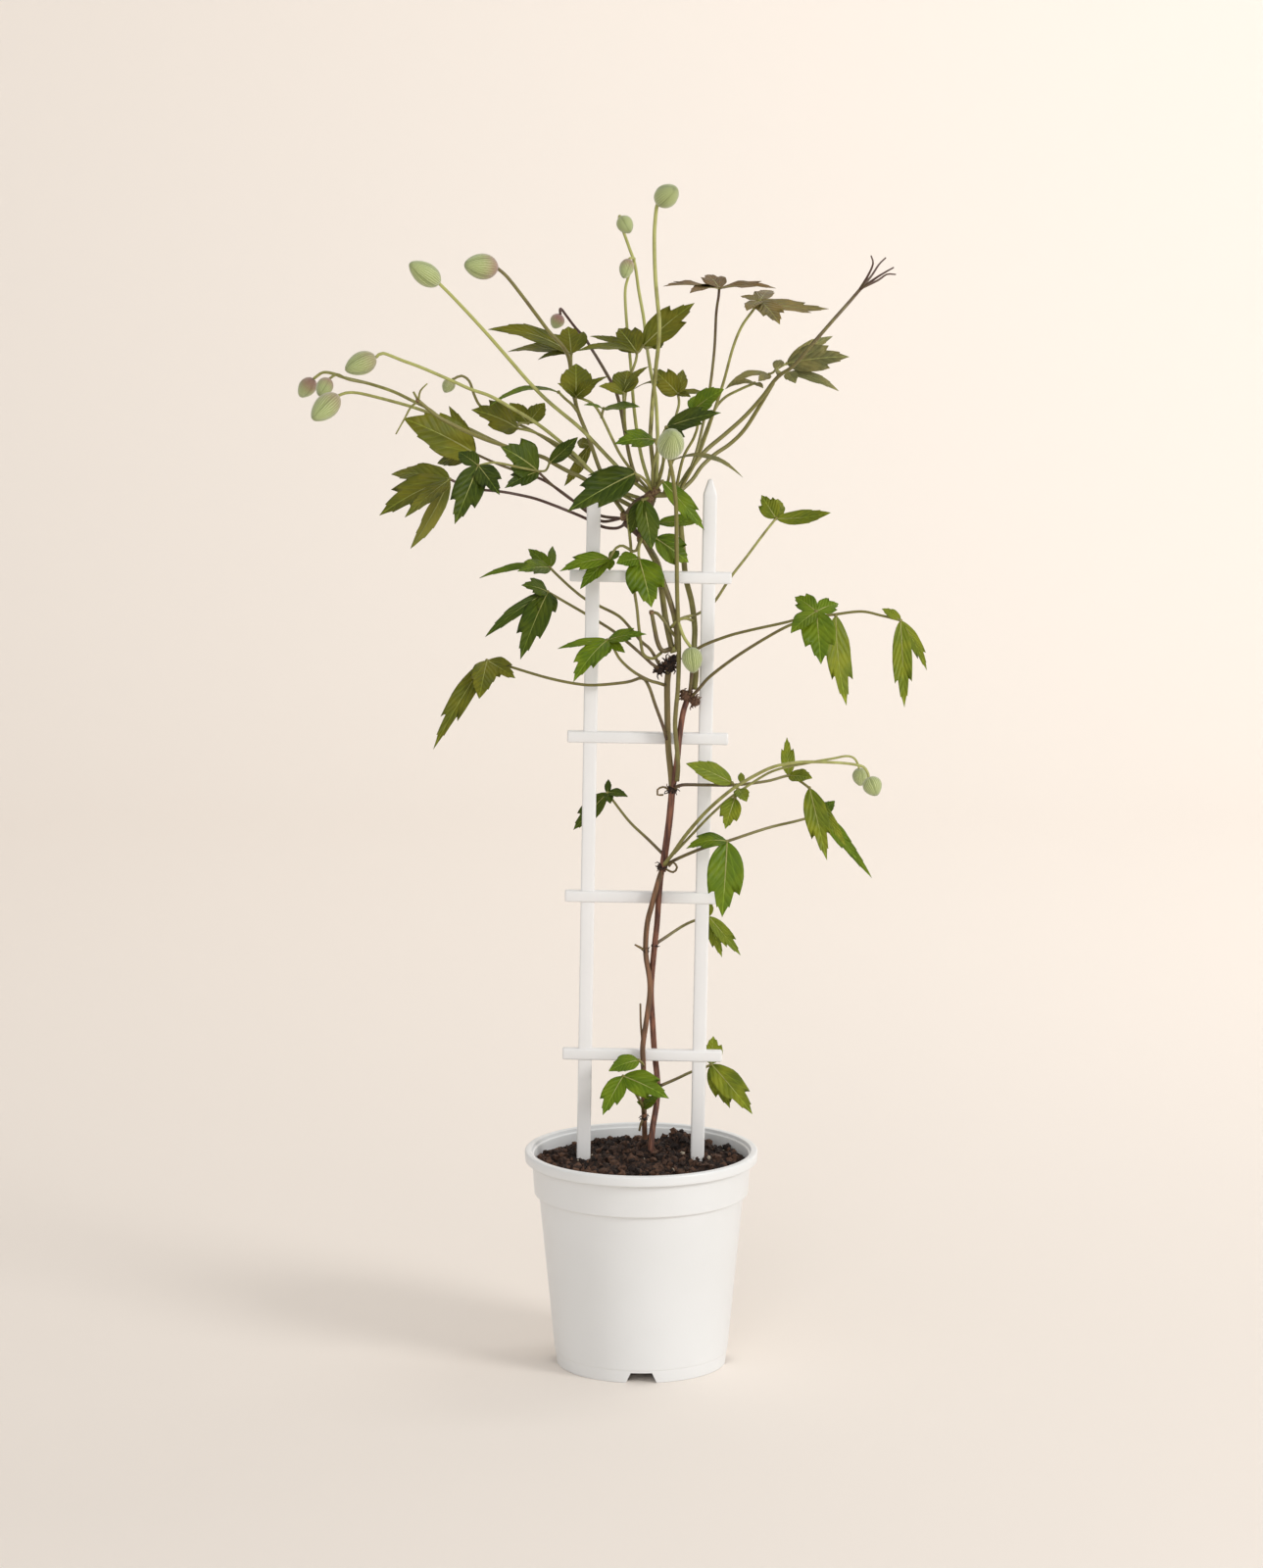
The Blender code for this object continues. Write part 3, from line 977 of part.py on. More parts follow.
def build_all():
    clear_scene()
    parts = make_collection("potted_clematis")
    cutters = make_collection("cutters")
    build_pot(parts, cutters, make_material("pot_white", (0.83, 0.81, 0.77), 0.4))
    holes = build_trellis(parts, cutters, make_material("trellis_white", (0.85, 0.84, 0.82), 0.35))
    holes += build_stems(parts, cutters, make_material("bark", (0.1, 0.045, 0.03), 0.6))
    build_soil(parts, holes, make_material("soil", (0.03, 0.018, 0.012), 0.95))
    build_stalks(parts, make_material("stalk_green", (0.2, 0.22, 0.06), 0.5))
    for name, leaf in LEAVES.items():
        tone = TONES[LEAF_TONES.get(name, "green")]
        build_leaf(name, leaf, parts, make_material(name, tone, 0.5))
    for name, (foot, tip, width) in BUDS.items():
        obj = bud(name, spot(*foot), spot(*tip), width, parts)
        obj.data.materials.append(make_material(name, (0.42, 0.5, 0.2), 0.6))
    build_hanging_buds(parts, make_material("buds_right", (0.38, 0.46, 0.16), 0.6))
    for obj in [*parts.objects, *cutters.objects]:
        obj.location = -PLANT_MIDDLE


build_all()
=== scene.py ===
# %% [markdown]
# # A clematis in its pot, dressed for a picture
# The imported model already has the right shapes in the right places, with few faces. Here every
# solid gets its finer twin: leaflets with veins and toothed edges, round stalks, silky buds, crumbly
# soil and a moulded pot. Each twin stays where its solid is, so we start by loading the solids.

# %% Load the solids
import math
import random

import bmesh
import bpy
from mathutils import Matrix, Vector, noise


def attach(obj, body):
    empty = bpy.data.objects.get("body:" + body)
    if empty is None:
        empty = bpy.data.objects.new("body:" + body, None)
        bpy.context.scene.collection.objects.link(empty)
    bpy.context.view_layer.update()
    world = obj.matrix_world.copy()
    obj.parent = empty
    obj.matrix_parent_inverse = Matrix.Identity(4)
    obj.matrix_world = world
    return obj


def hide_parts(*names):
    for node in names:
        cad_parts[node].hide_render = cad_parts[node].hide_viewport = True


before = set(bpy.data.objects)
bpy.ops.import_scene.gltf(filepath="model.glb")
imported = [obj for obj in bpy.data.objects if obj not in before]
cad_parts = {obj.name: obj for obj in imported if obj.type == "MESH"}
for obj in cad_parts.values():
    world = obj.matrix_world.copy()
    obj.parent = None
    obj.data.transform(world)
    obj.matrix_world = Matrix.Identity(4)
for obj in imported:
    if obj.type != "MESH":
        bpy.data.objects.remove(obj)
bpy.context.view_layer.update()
print("solids:", len(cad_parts))

# %% [markdown]
# ## Sums between shader nodes
# A pattern such as leaf veins is a sum of a few waves. In the node editor each plus sign is a Math
# node, which soon fills the screen. This small class lets us write the sum as plain Python, and adds
# the Math nodes itself. Colours are mixed by one more method, since a Math node would turn them grey.

# %% A class for shader maths
class Wire:
    """The output of a shader node. It takes part in sums like a number."""

    def __init__(self, finish, socket):
        self.finish = finish
        self.socket = socket

    def maths(self, operation, *values):
        return self.finish.node("ShaderNodeMath", {"operation": operation}, dict(enumerate(values)))

    def __add__(self, other):
        return self.maths("ADD", self, other)

    def __sub__(self, other):
        return self.maths("SUBTRACT", self, other)

    def __rsub__(self, other):
        return self.maths("SUBTRACT", other, self)

    def __mul__(self, other):
        return self.maths("MULTIPLY", self, other)

    def __abs__(self):
        return self.maths("ABSOLUTE", self)

    def zigzag(self):
        """Runs from 0 up to a half and back, once for each whole step of the wire."""
        return self.maths("PINGPONG", self, 0.5)

    __radd__ = __add__
    __rmul__ = __mul__


class Finish:
    """A material while it is made: its nodes, and the shader they feed."""

    def __init__(self, name, **values):
        self.material = bpy.data.materials.new(name)
        self.material.use_nodes = True
        self.nodes = self.material.node_tree.nodes
        self.links = self.material.node_tree.links
        self.shader = self.nodes["Principled BSDF"]
        for socket, value in values.items():
            self.feed(socket.replace("_", " "), value)

    def plug(self, socket, value):
        if isinstance(value, Wire):
            self.links.new(value.socket, socket)
        else:
            socket.default_value = value

    def feed(self, socket, value):
        self.plug(self.shader.inputs[socket], value)

    def node(self, kind, settings=None, sockets=None, out=0):
        made = self.nodes.new(kind)
        for name, value in (settings or {}).items():
            setattr(made, name, value)
        for key, value in (sockets or {}).items():
            self.plug(made.inputs[key], value)
        return Wire(self, made.outputs[out])

    def mix(self, share, first, second):
        return self.node("ShaderNodeMix", {"data_type": "RGBA"}, {0: share, 6: first, 7: second}, out=2)

    def range(self, value, low, high):
        """0 where the value is low or less, 1 where it is high or more, and smooth between."""
        settings = {"interpolation_type": "SMOOTHSTEP"}
        return self.node("ShaderNodeMapRange", settings, {"Value": value, "From Min": low, "From Max": high})

    def grain(self):
        """The piece's own map: how far along and how far across, as two wires."""
        uv = self.node("ShaderNodeUVMap", {"uv_map": "grain"})
        return [self.node("ShaderNodeSeparateXYZ", sockets={0: uv}, out=way) for way in (0, 1)]

    def speckle(self, size, detail=2, stretch=None):
        """Noise whose spots are this many millimetres wide."""
        where = self.node("ShaderNodeTexCoord", out="Object")
        if stretch:
            where = self.node("ShaderNodeMapping", sockets={"Vector": where, "Scale": stretch})
        sockets = {"Vector": where, "Scale": 1000 / size, "Detail": detail}
        return self.node("ShaderNodeTexNoise", sockets=sockets)

    def tint(self):
        return self.node("ShaderNodeAttribute", {"attribute_name": "tint"}, out="Fac")

    def raise_by(self, height, metres):
        """Bump: a height of 1 stands this far out of the surface."""
        self.feed("Normal", self.node("ShaderNodeBump", sockets={"Height": height, "Distance": metres}))


def rgb(red, green, blue):
    return (red, green, blue, 1)


print("the classes are ready")

# %% [markdown]
# ## Where everything grows
# The plant was measured in a photograph, so each point below is written as two pixels of that picture
# and a depth in millimetres. With the camera's place, pitch and focal length a pixel becomes a ray,
# and the depth picks one point on it. The same sum and the same numbers made the solids. All sums
# are done from the pot's middle, and each finished piece is moved so that the plant's is the origin.

# %% Sizes and the photograph's view
MM = 0.001
RIM_RADIUS = 85 * MM
POT_HEIGHT = 159 * MM
FOOT_RADIUS = 62.3 * MM
WALL = 2 * MM
LIP_HEIGHT = 7.6 * MM
BAND_RADIUS = 79.6 * MM
BAND_FOOT_RADIUS = 78 * MM
STEP_HEIGHT = 127 * MM
STEP_RADIUS = 74.6 * MM
FLOOR_HEIGHT = 10 * MM
SOIL_HEIGHT = 148 * MM
PLANT_MIDDLE = Vector((-20.94, 2.44, 0)) * MM
VIEW_AWAY = 3.87
VIEW_HEIGHT = 1.11
VIEW_ASIDE = -7.1 * MM
VIEW_PITCH = math.radians(9.977)
VIEW_FOCAL = 5562
PICTURE = (1289, 1600)
STEM_LINE = 675
STEM_ROOM = 35
CROWN_LINE = 500
SPREAD_REACH = 260
MOST_SPREAD = 0.9


def spread(across, down):
    """How much the depths grow here: the plant fans out from its stems."""
    aside = max(0, abs(across - STEM_LINE) - STEM_ROOM)
    above = max(0, CROWN_LINE - down)
    return 1 + MOST_SPREAD * min(1, math.hypot(aside, above) / SPREAD_REACH)


def spot(across, down, toward):
    """The place of a pixel, this many millimetres in front of the pot's middle."""
    toward *= spread(across, down)
    ahead = Vector((0, math.cos(VIEW_PITCH), -math.sin(VIEW_PITCH)))
    above = Vector((0, math.sin(VIEW_PITCH), math.cos(VIEW_PITCH)))
    ray = ahead + above * (PICTURE[1] / 2 - down) / VIEW_FOCAL
    ray.x = (across - PICTURE[0] / 2) / VIEW_FOCAL
    return Vector((VIEW_ASIDE, -VIEW_AWAY, VIEW_HEIGHT)) + ray * (VIEW_AWAY - toward * MM) / ray.y


def spots(route):
    return [spot(*point) for point in route]


print("the top bud's foot is at", spot(672, 206.5, 0))

# %% [markdown]
# ## The plant's plan
# These are the routes of all stems and stalks, and the leaflets of each leaf: the tip's place, the
# width in millimetres, the way the upper face looks, how far it arches, and its outline.

# %% Stems, stalks, leaves and buds
# Routes below are points (across, down, toward): two pixels of the photograph, and how many
# millimetres the point stands in front of the pot's middle. Each route also has its radii in mm.
WOODY_STEMS = {
    "dark": ([(664, 1212, 4), (664, 1180, 4), (666, 1152, 2), (670, 1127, -3), (671, 1105, -7),
              (669, 1083, -9.5), (667.5, 1068, -9.5), (666, 1043, -7), (664.5, 1017, -2), (665, 998, 3),
              (668, 966, 8), (670.5, 943, 9.5), (672, 921, 9.5), (674, 898, 8), (676, 885, 8)], 2.3, 2.1),
    "light": ([(658, 1208, -6), (658, 1165, -5), (657.5, 1141, -1), (656.8, 1119, 4), (656.7, 1090, 8),
               (656, 1068, 8.5), (659.5, 1043, 9), (663, 1017, 8), (663, 999, 8), (659, 972, 8),
               (660.5, 943, 10.5), (666, 921, 12.5), (672, 899, 11), (676, 887, 8)], 2, 2),
    "trunk": ([(676, 889, 8), (679.4, 865, 8), (682.8, 840, 9), (685, 818, 10), (686, 804, 10)], 2.7, 2.5),
    "olive": ([(686, 806, 10), (684.5, 787, 10), (682.3, 765, 10), (681.4, 742, 10), (681, 720, 9),
               (681, 697, 8), (683, 680, 8)], 2.3, 2.3),
    "brown": ([(686, 806, 10), (690.6, 780, 12), (693.3, 753, 11), (697, 728, 10), (702, 712, 9)], 2.3, 2.1),
    "dead_twig": ([(656, 1070, 8), (654, 1045, 8), (653.5, 1024, 8)], 0.9, 0.7),
    "dead_stub": ([(657.5, 1140, -1), (654, 1147, 1), (652.5, 1154, 1)], 1.2, 0.7),
    "leaf_stub": ([(659, 970, 8), (653.5, 967, 10), (648, 964, 12)], 1.2, 0.6),
    "low_tendril": ([(678, 886, 8), (687, 890, 13), (691, 885, 15), (687, 880, 15),
                     (683, 884, 12)], 0.8, 0.8),
    "high_tendril": ([(685, 807, 10), (677, 803, 14), (671, 806, 16), (671, 811, 16),
                      (677, 811, 15)], 0.8, 0.7),
}
# Knots are lumps on the woody stems, each with its radius in mm.
KNOTS = [(676, 885, 8, 4), (686, 806, 10, 4.2), (657.5, 1141, -1, 3), (671.5, 1108, -6, 3),
         (659, 970, 8, 2.8), (668, 965, 8, 2.8), (683, 680, 8, 6), (673, 683, 8.5, 5),
         (688, 673, 8, 4), (700, 710, 9, 5.6), (709, 716, 10, 4.6)]

# The upper stalks grow together in the crown, and carry the crown's leaves and buds.
STALKS = {
    "twin_left": ([(686, 663, 9), (683, 650, 8), (679, 630, 3), (676, 608, -5), (674, 594, -9.5),
                   (673, 582, -9.5), (670, 572, -5), (663, 560, 4), (655, 548, 10)], 2, 1.8),
    "twin_front": ([(691, 662, 10), (690.5, 644, 12.5), (688, 628, 13), (683, 611, 13), (677.7, 596, 12),
                    (671, 577, 11.5), (663, 562, 11), (655, 547, 11)], 1.8, 1.7),
    "twin_link": ([(684, 664, 9), (690, 662, 10)], 2, 2),
    "cut_stem": ([(708.5, 703.5, 5), (710, 690, 4.5), (710, 680, 4), (708.5, 660, 0), (709, 640, -5),
                  (706, 615, -9.5), (701, 595, -11), (699, 583, -11), (697, 560, -9), (695, 540, -8),
                  (694.5, 525, -8)], 1.9, 1.7),
    "cut_hook": ([(694.5, 526, -8), (697.5, 523, -8), (701, 520, -8)], 0.8, 0.5),
    "cut_link": ([(708.5, 634, -6), (700, 631, 7), (692, 633, 16), (685, 640, 12)], 1, 1),
    "bud_12": ([(691, 797, 14.5), (692, 783, 15.5), (691, 765, 17), (689, 742, 17.5), (690, 722, 18),
                (692, 700, 18), (693, 660, 18), (692, 632, 16), (691, 600, 16), (690.6, 560, 20),
                (690, 518, 30), (687, 488, 42), (683, 468, 49)], 1.5, 1.2),
    "red_node": ([(685, 662, 10), (676, 664, 13), (671, 655, 13.5), (668, 641, 13.5),
                  (665, 625, 13)], 1.7, 1.2),
    "red_branch": ([(665, 625, 13), (671, 626, 13), (678, 634, 13), (685, 644, 12.5),
                    (690, 650, 12.5)], 1, 1),
    "left_thread": ([(675, 666, 11), (666, 672, 19), (657, 668, 23), (654, 656, 20), (652, 640, 18),
                     (650, 620, 15), (647, 600, 11.5), (645, 580, 9), (644, 560, 9), (642, 540, 9),
                     (640, 524, 8)], 1, 0.9),
    "crown": ([(654, 553, 11), (658, 536, 13), (662, 520, 14), (666, 507, 15)], 2.6, 2.4),
    "crown_left": ([(637, 533, 2), (647, 541, 6), (655, 548, 10)], 2, 2),
    "crown_fork": ([(640, 524, 7), (650, 512, 11), (664, 506, 14)], 1.8, 2),
    "left_shoot": ([(645, 517, 8), (620, 503, -4), (595, 488, -13), (580, 481, -14), (567, 474, -14),
                    (553, 466, -14), (530, 461, -10), (515, 455, -3), (497, 449, 7), (480, 442, 15),
                    (465, 435, 20), (450, 427, 23), (440, 420, 23), (426, 408, 23)], 1.5, 1.1),
    "left_shoot_up": ([(427, 409, 23), (429, 399, 25), (436, 391.5, 27)], 0.8, 0.4),
    "left_shoot_down": ([(427, 409, 23), (419, 416, 23), (413, 427, 23), (404, 443, 22)], 0.8, 0.4),
    "left_shoot_side": ([(427, 409, 23), (422, 400, 20)], 0.9, 0.6),
    "bud_1": ([(664, 505, 15), (640, 486, 4), (624, 470, -1), (607, 452, -3), (590, 435, -4),
               (560, 410, -4), (540, 390, -2), (520, 367, 4), (500, 344, 10), (480, 322, 16),
               (462, 303, 22), (449, 290, 26)], 1.4, 1),
    "bud_2": ([(636, 522, 5), (621, 500, -8), (611, 476, -15), (604, 456, -16), (598, 440, -17),
               (590, 420, -20), (585, 400, -25), (583, 382, -27), (580, 364, -22), (573, 352, -16),
               (560, 338, -12), (548, 322, -8), (533, 302, -4), (518, 283, -1), (508, 274, 0)], 1.5, 1),
    "bud_3": ([(662, 511, 14), (640, 504, 5), (620, 495, -5), (605, 483, -8), (590, 467, -9),
               (572, 451, -9), (556, 438, -8), (540, 427, -7), (520, 415, -5), (500, 404, -2),
               (480, 397, 1), (460, 388, 4), (430, 375, 7), (411, 368, 8), (391, 360.5, 9),
               (384.5, 364, 9)], 1.3, 1),
    "bud_4": ([(451, 428, 23), (437, 417, 18), (420, 408.5, 13), (400, 399, 8), (375, 391, 3),
               (350, 385, -2), (341, 381.5, -4), (330, 380, -8), (322, 385, -10)], 1.1, 0.9),
    "bud_5": ([(375, 391, 3), (355, 387, 6), (344, 382, 9), (337, 386, 10)], 0.9, 0.8),
    "bud_6": ([(519, 457, -5), (500, 448, -12), (475, 436, -14), (445, 424, -10), (420, 415, -3),
               (387, 406, 6), (365, 401, 14), (353, 401, 18), (346, 403.5, 20)], 1.2, 0.9),
    "bud_7": ([(655, 515, 12), (630, 502, 0), (604, 482, -14), (584, 468, -22), (560, 450, -32),
               (540, 438, -38), (515, 427, -42), (500, 419, -42), (490, 414, -42), (484, 403, -41),
               (479, 389, -40), (471, 383.5, -39), (463.5, 386.5, -38)], 1.1, 0.8),
    "bud_8": ([(650, 492, 8), (643, 468, 0), (638, 442, -8), (633, 415, -13), (628, 398, -17),
               (620, 383, -25), (610, 366, -38), (603, 355, -48), (597, 345, -54), (587, 334, -58),
               (578, 322, -59), (573, 315.5, -57), (571.5, 316, -54.5)], 1.3, 0.8),
    "bud_9": ([(669, 500, 15), (666, 470, 9), (664, 450, 5), (664, 440, 3), (666, 410, 1),
               (668, 390, 2), (670, 370, 4), (672, 352, 6), (673, 330, 8), (671, 308, 8), (669, 285, 6),
               (668, 260, 4), (668, 235, 2), (670, 212, 0), (671.5, 207, 0)], 1.4, 1.1),
    "bud_10": ([(670, 492, 14), (671, 460, 10), (671, 440, 8), (669, 405, -10), (664, 378, -24),
                (660, 352, -42), (657, 325, -52), (652, 297, -52), (648, 270, -48), (643, 255, -47),
                (638, 241, -47.5), (634, 230, -46.5), (632, 222.5, -43.5), (632.5, 220.5, -40)], 1.2, 0.9),
    "bud_11": ([(666, 502, 14), (657, 475, 6), (653, 458, 0), (650, 440, -8), (647.5, 420, -15),
                (646, 404, -21), (643.5, 370, -30), (640, 335, -36), (638, 300, -38), (640.5, 285, -40),
                (645, 273, -41), (647.5, 264, -39), (643, 263.5, -36)], 1.2, 0.8),
    "bud_13": ([(692, 634, 16), (697, 648, 20), (701, 655, 23), (704, 659, 24)], 1.1, 1),
    "right_shoot": ([(688, 503, 13), (694, 495, 9), (705, 478, 4), (720, 460, -2), (740, 443, -6),
                     (760, 425, -8), (778, 405, -6), (789, 390, -2), (797, 382, 1), (810, 373, 5),
                     (830, 350, 7), (850, 327, 5), (866, 309, 1), (878, 295, -4)], 1.5, 1),
    "right_shoot_twin": ([(690, 505, 11), (706, 490, 1), (716, 476, -7), (729, 464, -12), (745, 453, -15),
                          (760, 438, -14), (776, 413, -10), (789, 391, -3)], 1.4, 1.2),
    "crown_right": ([(666, 505, 15), (678, 505, 15), (690, 504, 12)], 2, 1.6),
    "prong_1": ([(877, 296, -4), (886, 281, -2), (891, 269, 0), (889, 261, 2)], 0.95, 0.4),
    "prong_2": ([(877, 296, -4), (889, 282, -8), (897, 270, -10), (904, 263, -12)], 0.95, 0.4),
    "prong_3": ([(877, 296, -4), (892, 285, 1), (903, 278, 5), (912, 273, 9)], 0.95, 0.4),
    "prong_4": ([(879, 294, -4), (896, 286, -7), (905, 280, -9), (914, 280, -12)], 0.95, 0.4),
}
# Swellings where stalks meet, each with its radius in mm.
CROWN_NODES = [(655, 549, 10.5, 4.6), (663, 508, 14, 5.2), (669, 501, 14.5, 4.6), (638, 527, 4, 4.4),
               (665, 625, 13, 2.2), (426, 409, 23, 1.8), (690, 504, 12, 2.6)]


def leaflet(tip, width, turn, lift, arch, outline="plain"):
    """One blade: its tip's place, width in mm, the way its upper face looks in degrees (turned to
    the viewer's right, lifted to the sky), how far it arches in mm, and its outline."""
    return {"tip": tip, "width": width, "turn": turn, "lift": lift, "arch": arch, "outline": outline}


